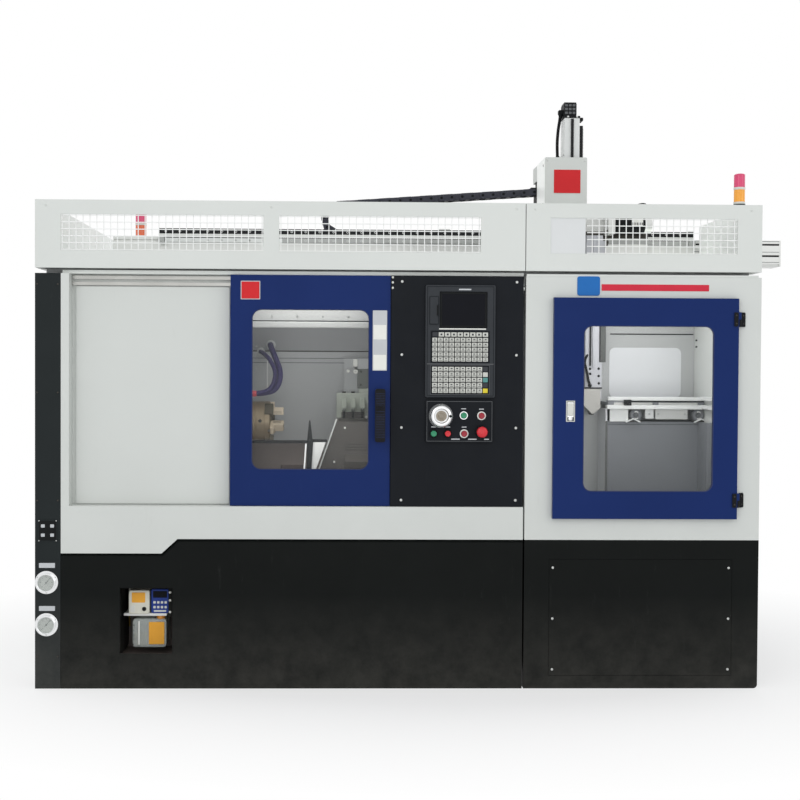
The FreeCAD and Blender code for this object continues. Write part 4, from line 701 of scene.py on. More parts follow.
# name, place in metres, size, share of the studio light
STUDIO_LAMPS = (("key lamp", (-3.4, -6.0, 4.6), 3.2, 1.0), ("side lamp", (4.6, -4.6, 3.2), 3.0, 0.45),
                ("back lamp", (1.0, 5.0, 4.8), 3.5, 0.55), ("front lamp", (0.2, -6.8, 1.6), 3.0, 0.32))
LAMP_TARGET = Vector((0.0, 0.0, 0.9))
# name, place in machine sizes, size, power
CABINET_LAMPS = (("chamber lamp", (1020, 330, 1526), 0.45, 2.4), ("chamber fill", (1020, 80, 1000), 0.5, 1.3),
                 ("stocker lamp", (2330, 420, 1526), 0.5, 3.4), ("stocker fill", (2270, 60, 1050), 0.5, 1.5))


def area_lamp(name, place, size, watts, ahead):
    """Square lamp that looks along a direction."""
    data = bpy.data.lights.new(name, "AREA")
    data.energy = watts
    data.size = size
    lamp = bpy.data.objects.new(name, data)
    lamp.location = place
    lamp.rotation_euler = ahead.to_track_quat("-Z", "Y").to_euler()
    bpy.context.scene.collection.objects.link(lamp)
    return lamp


class LATHE_OT_stage(bpy.types.Operator):
    """Pale floor, white surroundings, soft studio lamps and the camera"""
    bl_idname = "lathe.stage"
    bl_label = "Stage"

    def execute(self, context):
        scene = context.scene
        scene.view_settings.view_transform = "Standard"
        ready()
        bpy.ops.mesh.primitive_plane_add(size=FLOOR_SIZE, location=(0.0, 0.0, 0.0))
        floor = bpy.context.object
        floor.name = "floor"
        paint = Recipe("floor pale")
        paint.feed("Base Color", paint.mixed(paint.noise(1.2), full(rgb(236, 236, 236)),
                                             full(rgb(240, 240, 240))))
        paint.feed("Roughness", 0.85)
        paint.feed("Specular IOR Level", 0.1)
        far = paint.add("ShaderNodeVectorMath", {"operation": "LENGTH"},
                        {0: paint.stretched((0.55, 0.8, 1.0))}).outputs["Value"]
        share = paint.times(paint.direct_rays(), paint.ranged(far, 0.75, 1.5, 0.55, 1.0))
        glow = paint.add("ShaderNodeEmission", None, {"Color": WHITE, "Strength": 1.0})
        both = paint.add("ShaderNodeMixShader", None, {0: share, 1: paint.shader.outputs[0],
                                                       2: glow.outputs[0]})
        paint.put(paint.tree.nodes["Material Output"].inputs["Surface"], both.outputs[0])
        floor.data.materials.append(paint.material)

        world = bpy.data.worlds.new("surroundings")
        scene.world = world
        world.use_nodes = True
        world.node_tree.nodes.clear()
        sky = Nodes(world.node_tree)
        soft = sky.add("ShaderNodeBackground", None, {"Color": (0.97, 0.985, 1.0, 1.0), "Strength": 0.86})
        plain = sky.add("ShaderNodeBackground", None, {"Color": WHITE, "Strength": 1.0})
        both = sky.add("ShaderNodeMixShader", None, {0: sky.direct_rays(), 1: soft.outputs[0],
                                                     2: plain.outputs[0]})
        sky.add("ShaderNodeOutputWorld", None, {"Surface": both.outputs[0]})

        power = scene.lathe_sizes.lamp_power
        for name, place, size, share in STUDIO_LAMPS:
            area_lamp(name, place, size, power * share, LAMP_TARGET - Vector(place))
        for name, place, size, watts in CABINET_LAMPS:
            ahead = (0.0, 0.15, -1.0) if "lamp" in name else (0.0, 1.0, 0.0)
            lamp = area_lamp(name, at(*place), size, watts, Vector(ahead))
            lamp.visible_camera = False
            lamp.visible_glossy = False
            lamp.visible_transmission = False

        ahead = Vector((math.sin(CAMERA_YAW) * math.cos(CAMERA_PITCH),
                        math.cos(CAMERA_YAW) * math.cos(CAMERA_PITCH), -math.sin(CAMERA_PITCH)))
        right = Vector((math.cos(CAMERA_YAW), -math.sin(CAMERA_YAW), 0.0))
        upward = right.cross(ahead)
        across = right * math.cos(CAMERA_ROLL) + upward * math.sin(CAMERA_ROLL)
        over = -right * math.sin(CAMERA_ROLL) + upward * math.cos(CAMERA_ROLL)
        data = bpy.data.cameras.new("camera")
        data.lens = LENS_LENGTH
        data.sensor_width = SENSOR_WIDTH
        data.shift_x, data.shift_y = LENS_SHIFT
        data.clip_end = 100.0
        camera = bpy.data.objects.new("camera", data)
        turn = Matrix((across, over, -ahead)).transposed().to_4x4()
        camera.matrix_world = Matrix.Translation(Vector(CAMERA_PLACE)) @ turn
        scene.collection.objects.link(camera)
        scene.camera = camera
        return {"FINISHED"}


# ---- cords
HOSE_ROUTES = (
    ("upper_hose", 12.0, ((824, 900, 1296), (824, 820, 1296), (834, 700, 1284), (858, 612, 1236),
                          (884, 592, 1170), (866, 588, 1104), (814, 588, 1086), (748, 588, 1086))),
    ("lower_hose", 9.0, ((780, 900, 1266), (780, 820, 1266), (802, 680, 1258), (840, 580, 1226),
                         (864, 558, 1170), (846, 556, 1108), (798, 556, 1087), (734, 556, 1087))),
)
NUT_X = 762
CABLE_ROUTE = ((2060, 645, 2284), (2058, 645, 2255), (2051, 645, 2215), (2047, 645, 2165), (2047, 645, 2125),
               (2049, 645, 2080))


def length_of(points):
    """Length of a line of points."""
    return sum((b - a).length for a, b in zip(points, points[1:]))


class LATHE_OT_hoses(bpy.types.Operator):
    """Coolant hoses in the work chamber with their glands and nuts"""
    bl_idname = "lathe.hoses"
    bl_label = "Coolant hoses"

    def execute(self, context):
        for name, radius, route in HOSE_ROUTES:
            hose = line_of(name, route, radius, "purple sleeve", 5)
            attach(hose, "machine")
            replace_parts(hose, "coolant_hose")
            length = length_of(spline_points(hose))
        parts = []
        for name, radius, route in HOSE_ROUTES:
            end, depth, z = route[-1]
            parts += [turned(route[0], "d", [(0, radius + 9), (-3, radius + 9), (-3, radius + 6),
                                             (-13, radius + 5), (-15, radius + 1.4), (-24, radius + 0.8)],
                             "zinc", 24),
                      turned(route[-1], "x", [(0, radius + 1), (NUT_X + 2 - end, radius + 1)], "zinc", 24),
                      turned((NUT_X, depth, z), "x", [(0, 14.2), (13, 14.2), (15, 13.4), (19, 13.0), (20, 12.4)],
                             "fitting red", 6)]
        parts.append(rounded((722, 750), (570, 608), (1070, 1112), 5.0, "zinc", 1.0, "x"))
        parts.append(turned((750, 600, 1104), "x", [(-1, 4), (2, 4), (2, 2.4), (4, 2.4)], "zinc", 12))
        assemble("hose_fittings", parts, "machine")
        return {"FINISHED"}


class LATHE_OT_arm_cable(bpy.types.Operator):
    """Cable that bows from the head of the upper arm to the loader's cover"""
    bl_idname = "lathe.arm_cable"
    bl_label = "Arm cable"

    def execute(self, context):
        cable = line_of("arm_lead", CABLE_ROUTE, 6.5, "black rubber", 4)
        path = spline_points(cable)
        pick(cable)
        bpy.ops.object.convert(target="MESH")
        cable = bpy.context.object
        cable.name = "arm_lead"
        bpy.ops.object.shade_smooth_by_angle(angle=math.radians(60))
        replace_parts(cable, "arm_cable")
        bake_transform(cable)
        boot = [rounded((2050, 2070), (635, 655), (2273, 2293), 5.0, "moulded black", 1.0),
                turned((2060, 645, 2274), "z", [(0, 9), (-4, 9), (-5.5, 8), (-15, 7.6), (-16, 6.8)],
                       "moulded black", 20)]
        assemble("cable_boot", boot, "arm_upper")
        gland = [turned(CABLE_ROUTE[-1], "z", [(0, 12), (6, 12), (8, 10), (17, 8.8), (19, 6.8)],
                        "moulded black", 6),
                 turned(CABLE_ROUTE[-1], "z", [(0, 12.6), (2, 12.6), (2, 10)], "zinc", 24)]
        assemble("cable_gland", gland, "carriage")
        return {"FINISHED"}


# ---- drag chain
CHAIN_PITCH = 45.0
CHAIN_LOW = 1780.5              # z of the lower run
CHAIN_RADIUS = 61.5
CHAIN_BEND = 1121.0             # x of the bend's centre
CHAIN_START = 1560.0            # x of the fixed end
CHAIN_END = (1985.0, 1965.0)    # x and z of the end at the carriage


def chain_pivots():
    """Pivots of the drag chain from its fixed end round the bend to the carriage."""
    straight = CHAIN_START - CHAIN_BEND
    arc = math.pi * CHAIN_RADIUS
    rise = CHAIN_END[1] - (CHAIN_LOW + 2 * CHAIN_RADIUS)
    run = CHAIN_END[0] - CHAIN_BEND
    pivots = []
    for index in range(int((straight + arc + math.hypot(run, rise)) // CHAIN_PITCH) + 1):
        length = index * CHAIN_PITCH
        if length < straight:
            pivots.append((CHAIN_START - length, CHAIN_LOW))
        elif length < straight + arc:
            angle = (length - straight) / CHAIN_RADIUS
            pivots.append((CHAIN_BEND - CHAIN_RADIUS * math.sin(angle),
                           CHAIN_LOW + CHAIN_RADIUS - CHAIN_RADIUS * math.cos(angle)))
        else:
            share = (length - straight - arc) / math.hypot(run, rise)
            pivots.append((CHAIN_BEND + run * share, CHAIN_LOW + 2 * CHAIN_RADIUS + rise * share))
    return pivots


def chain_link(inset):
    """One link with its first pivot at the frame's middle, lying along x; inset narrows every other link."""
    x, depth = MIDDLE_X, MIDDLE_DEPTH
    parts = []
    for near, far, out in ((36.5 + inset, 41.0 + inset, -1), (94.0 - inset, 98.5 - inset, 1)):
        parts.append(rounded((x - 14, x + 59), (depth + near, depth + far), (-14.6, 14.6), 13.6,
                             "chain grey", 0.8))
        face = depth + (near if out < 0 else far)
        for pivot in (x, x + CHAIN_PITCH):
            parts.append(turned((pivot, face, 0.0), "d", [(0, 6.0), (out * 1.2, 5.4), (out * 1.2, 3.0),
                                                          (out * 0.3, 2.6)], "moulded black", 12))
        parts.append(rounded((x + 10, x + 35), (face - 0.9, face + 0.9), (-10, 10), 2.0, "chain grey"))
    for low, high in ((11.0, 14.6), (-14.6, -11.0)):
        parts.append(block((x + 13, x + 32), (depth + 38 + inset, depth + 97 - inset), (low, high),
                           "chain pale" if high > 0 else "moulded black", 0.8))
    return joined(parts)


class LATHE_OT_drag_chain(bpy.types.Operator):
    """Cable chain: rounded links whose side plates lap, with the cables that it carries"""
    bl_idname = "lathe.drag_chain"
    bl_label = "Drag chain"

    def execute(self, context):
        pivots = chain_pivots()
        patterns = (chain_link(0.0), chain_link(5.0))
        links = []
        for index, (here, there) in enumerate(zip(pivots, pivots[1:])):
            link = copied(patterns[index % 2])
            link.rotation_euler = (0.0, -math.atan2(there[1] - here[1], there[0] - here[0]), 0.0)
            link.location = at(here[0], MIDDLE_DEPTH, here[1])
            bpy.ops.object.transform_apply(location=True, rotation=True, scale=True)
            links.append(link)
        for pattern in patterns:
            bpy.data.objects.remove(pattern)
        for depth, radius, drop, paint in ((782, 6.0, -1.0, "black rubber"), (796, 5.0, -3.0, "grey plastic"),
                                           (808, 4.5, -2.0, "fitting orange")):
            links.append(pipe([(x, depth, z + drop) for x, z in pivots], radius, paint))
        chain = assemble("cable_chain", links, None, 40.0)
        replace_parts(chain, "drag_chain")
        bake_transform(chain)
        ends = [rounded((1556, 1606), (758, 764), (1762, 1800), 4.0, "zinc", 0.6),
                block((1556, 1606), (758, 834), (1765.5, 1769), "zinc", 0.5)]
        ends += [washer_screw(x, 796, 1769, "up", 7.0) for x in (1568, 1594)]
        assemble("chain_anchor", ends, "machine")
        arm = [rounded((1980, 2006), (752, 838), (1860, 1983), 3.0, "moulded black", 0.8, "x"),
               block((1956, 1986), (766, 824), (1981.4, 1983.4), "moulded black", 0.6)]
        arm += [washer_screw(2006, depth, z, "right", 6.0) for depth in (765, 825) for z in (1880, 1970)]
        assemble("chain_bracket", arm, "carriage")
        return {"FINISHED"}


# ---- base and column
GAUGE_X = 43.0
GAUGE_ROWS = (396.0, 239.0)
GAUGE_TICKS = 31


class LATHE_OT_gauges(bpy.types.Operator):
    """Dials, ticks, rims and glasses of the two pressure gauges, and the plates on their column"""
    bl_idname = "lathe.gauges"
    bl_label = "Gauges"

    def execute(self, context):
        parts = []
        for z in GAUGE_ROWS:
            hub = (GAUGE_X, 0, z)
            parts += [turned(hub, "d", [(-3.0, 29.8), (-4.2, 29.6), (-4.2, 4.5), (-5.6, 4.0)], "dial white", 48),
                      turned(hub, "d", [(-3.0, 30.0), (-4.6, 30.0), (-13.0, 30.4), (-15.4, 31.6), (-15.8, 33.0),
                                        (-14.4, 34.6), (-4.2, 34.8), (-4.2, 41.6), (-3.4, 42.8), (0.0, 42.8),
                                        (0.0, 30.0), (-3.0, 30.0)], "chrome", 48, True)]
            for index in range(GAUGE_TICKS):
                half, low = (0.35, 22.0) if index % 5 else (0.7, 18.0)
                tick = block((GAUGE_X - half, GAUGE_X + half), (-4.4, -4.2), (z + low, z + 27.0), "dial black")
                parts.append(spun(tick, hub, "Y", 9 * index - 135))
            for angle in (30, 150, 270):
                turn = math.radians(angle)
                parts.append(socket_screw(GAUGE_X + 38.4 * math.cos(turn), -4.1, z + 38.4 * math.sin(turn), 2.6))
        assemble("gauge_dials", parts, "machine")
        panes = [turned((GAUGE_X, 0, z), "d", [(-12.2, 30.3), (-13.4, 30.2), (-13.9, 20.0)], "clear tank", 48)
                 for z in GAUGE_ROWS]
        assemble("gauge_glasses", panes, "machine")
        plates = [rounded((15, 74), (-1.2, 0.0), z, 2.0, "plain pale", 0.3) for z in ((450, 468), (290, 308))]
        plates.append(rounded((16, 78), (-3.2, -2.0), (552, 624), 3.0, "moulded black", 0.4))
        plates += [rounded((x, x + 14), (-4.4, -3.2), z, 2.0, "plain pale", 0.3)
                   for x in (23, 57) for z in ((600, 612), (566, 578))]
        plates += [socket_screw(x, -2.0, z, 2.4) for x in (15.2, 78.8) for z in (551, 625)]
        assemble("column_plates", plates, "machine")
        return {"FINISHED"}


class LATHE_OT_cover_screws(bpy.types.Operator):
    """Screws of the console, the access panel and the column, and the lips above the fronts"""
    bl_idname = "lathe.cover_screws"
    bl_label = "Cover screws"

    def execute(self, context):
        screws = [socket_screw(x, 6.0, z) for x in (1356.0, 1783.5) for z in (705, 975.5, 1247, 1518.6)]
        screws += [socket_screw(x, -0.5, z, 5.0) for x in (1925, 2587) for z in (72, 263, 454)]
        screws += [socket_screw(1321.0, 6.0, z, 4.4, "pale plastic") for z in (1495, 1515, 1534)]
        screws += [socket_screw(x, 0.0, z, 3.6, "dark steel") for x in (8.0, 84.0) for z in (700, 1100, 1500, 120)]
        assemble("cover_screws", screws, "machine")
        lips = [block((96, 1812), (22, 65), (1541, 1555), "guard white", 1.0),
                block((1820, 2690), (3, 65), (1541, 1549.5), "guard white", 1.0)]
        assemble("top_lips", lips, "machine")
        return {"FINISHED"}


class LATHE_OT_plates(bpy.types.Operator):
    """Plain plates: red squares, pale strips, the blue square and the red strip of the stocker"""
    bl_idname = "lathe.plates"
    bl_label = "Plain plates"

    def execute(self, context):
        door = [rounded((756.5, 829), (10.6, 12.0), (1449, 1518), 3.0, "plain pale", 0.3),
                rounded((759.5, 826), (9.6, 10.6), (1452, 1515), 2.0, "plain red", 0.3),
                rounded((1247.5, 1301), (10.8, 12.0), (1187, 1411), 2.0, "plain pale", 0.3),
                rounded((1250.5, 1298), (10.2, 10.8), (1303, 1357), 1.5, "dial white", 0.2),
                rounded((1250.5, 1298), (10.2, 10.8), (1190, 1246), 1.5, "dial white", 0.2)]
        assemble("door_plates", door, "sliding_door")
        front = [rounded((2008, 2093), (-2.6, 0.0), (1470, 1542), 9.0, "plain blue", 0.6),
                 rounded((2099, 2502), (-1.4, 0.0), (1489, 1513), 2.0, "strip red", 0.3)]
        assemble("header_plates", front, "machine")
        cover = [rounded((2019, 2130), (557.6, 560.0), (1931, 2028), 2.0, "plain red", 0.5)]
        cover += [socket_screw(x, 560.0, z, 3.6) for x in (1992, 2147) for z in (1830, 2066)]
        assemble("cover_plate", cover, "carriage")
        return {"FINISHED"}


# ---- console
UNIT_FACE = -6.0
KEY_TOP = UNIT_FACE - 2.6
MARK_REACH = (UNIT_FACE - 2.75, UNIT_FACE - 2.55)
PLATE_FACE = -4.0
KEYS_LEFT, KEYS_RIGHT = 1467.0, 1677.0
SOFT_KEYS = 9
KEY_ROWS = 5
KEY_COLUMNS = 10
TYPING_KEYS = (1221.0, 18.2)        # lowest z and height of a row
MACHINE_KEYS = (1104.0, 20.0)
LAST_COLUMN = ("key yellow", "key dark", "key teal", "key pale", "key dark")


def border(x, depth, z, width, finish, edge=0.3):
    """Thin raised border of a rectangular field."""
    left, right = x
    low, high = z[0] + width, z[1] - width
    return [block(x, depth, (high, z[1]), finish, edge), block(x, depth, (z[0], low), finish, edge),
            block((left, left + width), depth, (low, high), finish, edge),
            block((right - width, right), depth, (low, high), finish, edge)]


def key(x, z, width, height, finish):
    """Key cap with a soft edge."""
    gap = bpy.context.scene.lathe_sizes.key_gap / MM / 2
    return block((x + gap, x + width - gap), (KEY_TOP, UNIT_FACE), (z + gap, z + height - gap), finish, 0.9, 2)


def grid(piece, across, up, width, height):
    """Copies of a key or mark in even columns and rows."""
    return repeated(repeated(piece, across, (width, 0, 0)), up, (0, 0, height))


class LATHE_OT_control_unit(bpy.types.Operator):
    """Control unit: bezel, screen, soft keys, typing keys and machine keys"""
    bl_idname = "lathe.control_unit"
    bl_label = "Control unit"

    def execute(self, context):
        bezel = rounded((1443, 1703), (UNIT_FACE, 6), (1089, 1506), 6.0, "bezel grey", 1.0)
        carve(bezel, block((1495, 1673), (-9, -1.5), (1347, 1482), "screen"))
        carve(bezel, block((1459.6, 1489), (-9, 2), (1362, 1461), "bezel grey"))
        parts = [bezel]
        for x, reach, z, width, paint in (((1449, 1697), 0.9, (1094, 1501), 1.6, "console black"),
                                          ((1462, 1682), 0.7, (1217, 1337), 1.4, "console black"),
                                          ((1462, 1682), 0.7, (1099, 1209), 1.4, "grey plastic")):
            parts += border(x, (UNIT_FACE - reach, UNIT_FACE), z, width, paint)
        for z in ((1219, 1335), (1101, 1207)):
            parts.append(block((1464, 1680), (UNIT_FACE - 0.35, UNIT_FACE), z, "console black"))
        parts.append(block((1496, 1672), (-4.0, -1.5), (1348, 1481), "screen", 0.5))
        parts += border((1497, 1671), (-4.6, -4.0), (1349, 1480), 7.0, "moulded black")
        parts += [rounded((1493, 1668), (UNIT_FACE - 1.2, UNIT_FACE), (1341, 1345.4), 1.5, "dial white", 0.3),
                  rounded((1566, 1612), (UNIT_FACE - 0.9, UNIT_FACE), (1487, 1492.5), 1.5, "plain pale", 0.2),
                  block((1449, 1697), (UNIT_FACE - 1.4, UNIT_FACE), (1211.2, 1214.6), "grey plastic", 0.5)]
        soft = (KEYS_RIGHT - KEYS_LEFT) / SOFT_KEYS
        middle = KEYS_LEFT + soft * 1.5
        parts += [key(KEYS_LEFT, 1313, soft, 19, "key dark"),
                  grid(key(KEYS_LEFT + soft, 1313, soft, 19, "key pale"), SOFT_KEYS - 1, 1, soft, 0),
                  grid(block((middle - 3.5, middle + 3.5), MARK_REACH, (1319, 1326), "key dark"), SOFT_KEYS - 1,
                       1, soft, 0)]
        wide = (KEYS_RIGHT - KEYS_LEFT) / KEY_COLUMNS
        for (bottom, high), columns in ((TYPING_KEYS, KEY_COLUMNS), (MACHINE_KEYS, KEY_COLUMNS - 1)):
            parts.append(grid(key(KEYS_LEFT, bottom, wide, high, "key pale"), columns, KEY_ROWS, wide, high))
            for low, height, width in ((0.52, 0.20, 0.36), (0.24, 0.10, 0.55)):
                mark = block((KEYS_LEFT + wide * (0.5 - width / 2), KEYS_LEFT + wide * (0.5 + width / 2)),
                             MARK_REACH, (bottom + high * low, bottom + high * (low + height)), "key dark")
                parts.append(grid(mark, columns, KEY_ROWS, wide, high))
        bottom, high = MACHINE_KEYS
        for row, paint in enumerate(LAST_COLUMN):
            parts.append(key(KEYS_RIGHT - wide, bottom + high * row, wide, high, paint))
        unit = assemble("control_face", parts, "machine")
        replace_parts(unit, "control_unit")
        flap = [rounded((1459.2, 1489.4), (-9.9, -9.3), (1362, 1461.5), 2.0, "bezel grey", 0.3),
                rounded((1484.6, 1490.4), (-12.4, -9.3), (1393, 1430), 1.5, "moulded black", 0.5)]
        assemble("card_flap_skin", flap, "card_flap")
        return {"FINISHED"}


WHEEL = (1502, 0, 1020)
WHEEL_MARKS = 50
WHEEL_GRIPS = 60
STOP = (1654, 0, 961)
PUSH_BUTTONS = (
    # piece, x, z, finish, body, slot, replaced node, finish of the ring
    ("start_cap", 1587, 1022, "button green", "cycle_start", "green_plastic", "cycle_start_button", "chrome"),
    ("hold_cap", 1653.5, 1021, "button dark red", "feed_hold", "red_plastic", "feed_hold_button", "dial white"),
    ("power_on_cap", 1475.5, 954, "button green", "power_on", "green_plastic", "power_on_button", "moulded black"),
    ("power_off_cap", 1528, 954, "button red", "power_off", "red_plastic", "power_off_button", "moulded black"),
    ("reset_cap", 1589, 954, "button dark red", "reset", "red_plastic", "reset_button", "dial white"),
)


class LATHE_OT_buttons(bpy.types.Operator):
    """Push buttons with their rings, the stop mushroom and the pulse handwheel"""
    bl_idname = "lathe.buttons"
    bl_label = "Buttons and handwheel"

    def execute(self, context):
        for name, x, z, paint, body, slot, node, _ in PUSH_BUTTONS:
            cap = turned((x, 0, z), "d", [(4.0, 10.9), (-14.4, 10.9), (-15.6, 10.3), (-16.0, 9.2), (-15.7, 7.6),
                                          (-15.2, 3.0)], paint, 36)
            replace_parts(assemble(name, [cap], body, 50.0), node)
        head = turned(STOP, "d", [(4.0, 12.0), (-22.0, 12.0), (-22.0, 19.6), (-23.0, 20.5), (-27.0, 20.5),
                                  (-31.5, 19.2), (-34.4, 16.4), (-35.8, 11.0), (-36.0, 4.0)], "button red", 48)
        stop = assemble("stop_head", [head], "stop_mushroom", 50.0)
        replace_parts(stop, "emergency_stop")
        rings = []
        for _, x, z, _, _, _, _, paint in PUSH_BUTTONS:
            rings.append(turned((x, 0, z), "d", [(-4.0, 16.4), (-8.6, 16.0), (-9.8, 14.8), (-9.8, 12.2),
                                                 (-8.8, 11.7), (-4.0, 11.7), (-4.0, 16.4)], paint, 40, True))
        rings.append(turned(STOP, "d", [(-4.0, 23.4), (-10.6, 22.8), (-12.4, 21.4), (-12.4, 13.2), (-4.0, 13.2),
                                        (-4.0, 23.4)], "moulded black", 40, True))
        rings += border((1449.5, 1693.5), (PLATE_FACE - 0.8, PLATE_FACE), (925, 1074.5), 1.8, "grey plastic")
        strips = [((x - 9, x + 9), (z + 23, z + 26.4)) for _, x, z, *_ in PUSH_BUTTONS]
        strips += [(x, (931.5, 935.5)) for x in ((1541, 1573), (1604, 1636), (1664, 1682))]
        rings += [rounded(x, (PLATE_FACE - 0.5, PLATE_FACE), z, 1.0, "plain pale") for x, z in strips]
        rings.append(turned(WHEEL, "d", [(-4.0, 45.5), (-7.2, 45.0), (-8.2, 43.6), (-8.2, 8.0), (-4.0, 8.0),
                                         (-4.0, 45.5)], "grey plastic", 60, True))
        x, _, z = WHEEL
        for index in range(WHEEL_MARKS):
            mark = block((x - 0.3, x + 0.3), (-8.5, -8.2), (z + 41.2, z + (44.0 if index % 5 else 43.0)),
                         "dial white")
            rings.append(spun(mark, WHEEL, "Y", 7.2 * index))
        assemble("console_rings", rings, "machine", 40.0)
        wheel = [turned(WHEEL, "d", [(-8.6, 40.0), (-30.0, 40.4), (-35.0, 38.6), (-37.4, 35.4), (-38.2, 31.0),
                                     (-37.4, 27.4), (-31.0, 24.6), (-29.6, 20.0), (-29.6, 11.6)], "chrome", 72),
                 turned(WHEEL, "d", [(-29.0, 20.5), (-30.4, 20.0), (-30.4, 11.4), (-33.6, 10.6), (-34.4, 8.6),
                                     (-34.4, 2.0)], "wheel steel", 48),
                 turned((1534.5, 0, z), "d", [(-37.0, 5.2), (-41.0, 5.0), (-43.0, 4.2), (-43.6, 2.0)],
                        "moulded black", 24)]
        grip = turned((x, 0, 1060.2), "d", [(-12.0, 0.9), (-28.0, 0.9)], "chrome", 6)
        turns = 360.0 / WHEEL_GRIPS
        wheel += [grip] + [spun(copied(grip), WHEEL, "Y", turns * index) for index in range(1, WHEEL_GRIPS)]
        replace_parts(assemble("wheel_rim", wheel, "pulse_wheel", 40.0), "handwheel")
        return {"FINISHED"}


# ---- doors
HINGE_ROWS = (682, 1357)


def gasket(x, depth, z, radius):
    """Rubber strip with round corners round a window."""
    width = bpy.context.scene.lathe_sizes.gasket / MM
    outer = rounded(x, depth, z, radius, "rubber strip")
    inner = rounded((x[0] + width, x[1] - width), (depth[0] - 2, depth[1] + 2), (z[0] + width, z[1] - width),
                    radius - width, "rubber strip")
    return soften(carve(outer, inner), 0.4)


def hinge_leaves(x, depth, screw_x):
    """Flat leaf with two screws at the height of each hinge."""
    parts = []
    for bottom in HINGE_ROWS:
        parts.append(rounded(x, depth, (bottom + 1, bottom + 53), 3.0, "handle black", 0.6))
        parts += [socket_screw(screw_x, depth[0], bottom + shift, 3.2, "dark steel") for shift in (12, 42)]
    return parts


class LATHE_OT_doors(bpy.types.Operator):
    """Window gaskets, handle ends, hinge screws and the latch of the two doors"""
    bl_idname = "lathe.doors"
    bl_label = "Door fittings"

    def execute(self, context):
        parts = [gasket((798.3, 1234.5), (11.0, 21.9), (816.2, 1413.4), 35.0)]
        parts += [rounded((1258, 1292), (-28.6, -27.4 + 8), z, 6.0, "moulded black", 0.5)
                  for z in ((927, 963), (1080, 1116))]
        parts += [turned((1275, 12, z), "d", [(0, 15.0), (-2.4, 14.2), (-2.4, 9.0)], "moulded black", 24)
                  for z in (945, 1098)]
        parts += [block((1258, 1292), (-45.0, -44.6), (z, z + 1.2), "rubber strip") for z in range(940, 1105, 6)]
        assemble("sliding_door_fittings", parts, "sliding_door")
        parts = [gasket((2030, 2517.4), (-22.6, -14.1), (740.9, 1358.2), 33.0)]
        parts += border((1966, 1999), (-23.2, -22.0), (1001, 1079), 3.0, "pale plastic", 0.4)
        parts.append(turned((1982.5, 0, 1012), "d", [(-10.0, 7.0), (-21.0, 7.0), (-21.4, 6.0), (-21.4, 2.2),
                                                     (-19.0, 1.8)], "chrome", 24))
        parts.append(block((1969.4, 1995.6), (-12.5, -8.0), (1004.5, 1075.5), "pale plastic", 0.4))
        parts += hinge_leaves((2590, 2606), (-27.0, -24.6), 2598)
        assemble("stocker_door_fittings", parts, "stocker_door")
        parts = hinge_leaves((2622.5, 2639), (-5.6, -3.8), 2631)
        assemble("hinge_plates", parts, "machine")
        paddle = [rounded((1972, 1993), (-24.2, -22.8), (1022, 1070), 4.0, "pale plastic", 0.5),
                  rounded((1976, 1989), (-25.6, -24.0), (1024, 1032), 2.0, "pale plastic", 0.5)]
        assemble("latch_skin", paddle, "latch")
        return {"FINISHED"}


# ---- work chamber
SPINDLE = (640.0, 970.0)        # depth and z of the axis
CHUCK_FACE = 838
REAR_WALL = 900
JAWS = 3
JAW_STEP = 120.0


def about_spindle(piece, angle):
    """Turn a part about the spindle's axis."""
    return spun(piece, (0, *SPINDLE), "X", angle)


def stepped_jaw():
    """Upper jaw of the chuck in two steps, with its screws, before it is turned to its place."""
    depth, z = SPINDLE
    parts = []
    for reach, low, high in ((54, 26, 57), (16, 57, 80)):
        parts.append(block((838.6, CHUCK_FACE + reach), (depth - 16.2, depth + 16.2), (z + low, z + high + 0.2),
                           "jaw steel", 1.2))
    parts.append(block((829, 838.8), (depth - 8.4, depth + 8.4), (z + 34, z + 76), "ground steel", 0.5))
    for radius, reach in ((42.0, 54.0), (69.0, 16.0)):
        parts.append(turned((CHUCK_FACE + reach, depth, z + radius), "x",
                            [(0, 6.6), (0.5, 6.4), (0.5, 5.2), (-3.5, 5.0), (-3.5, 2.8), (-6.0, 2.6)],
                            "dark steel", 18))
    for side in (-1, 1):
        face = depth + side * 16.2
        parts += [block((850, 884), (face - 0.4, face + 0.4), (z + radius, z + radius + 1.2), "dark steel")
                  for radius in (30.0, 35.0, 40.0)]
    return parts


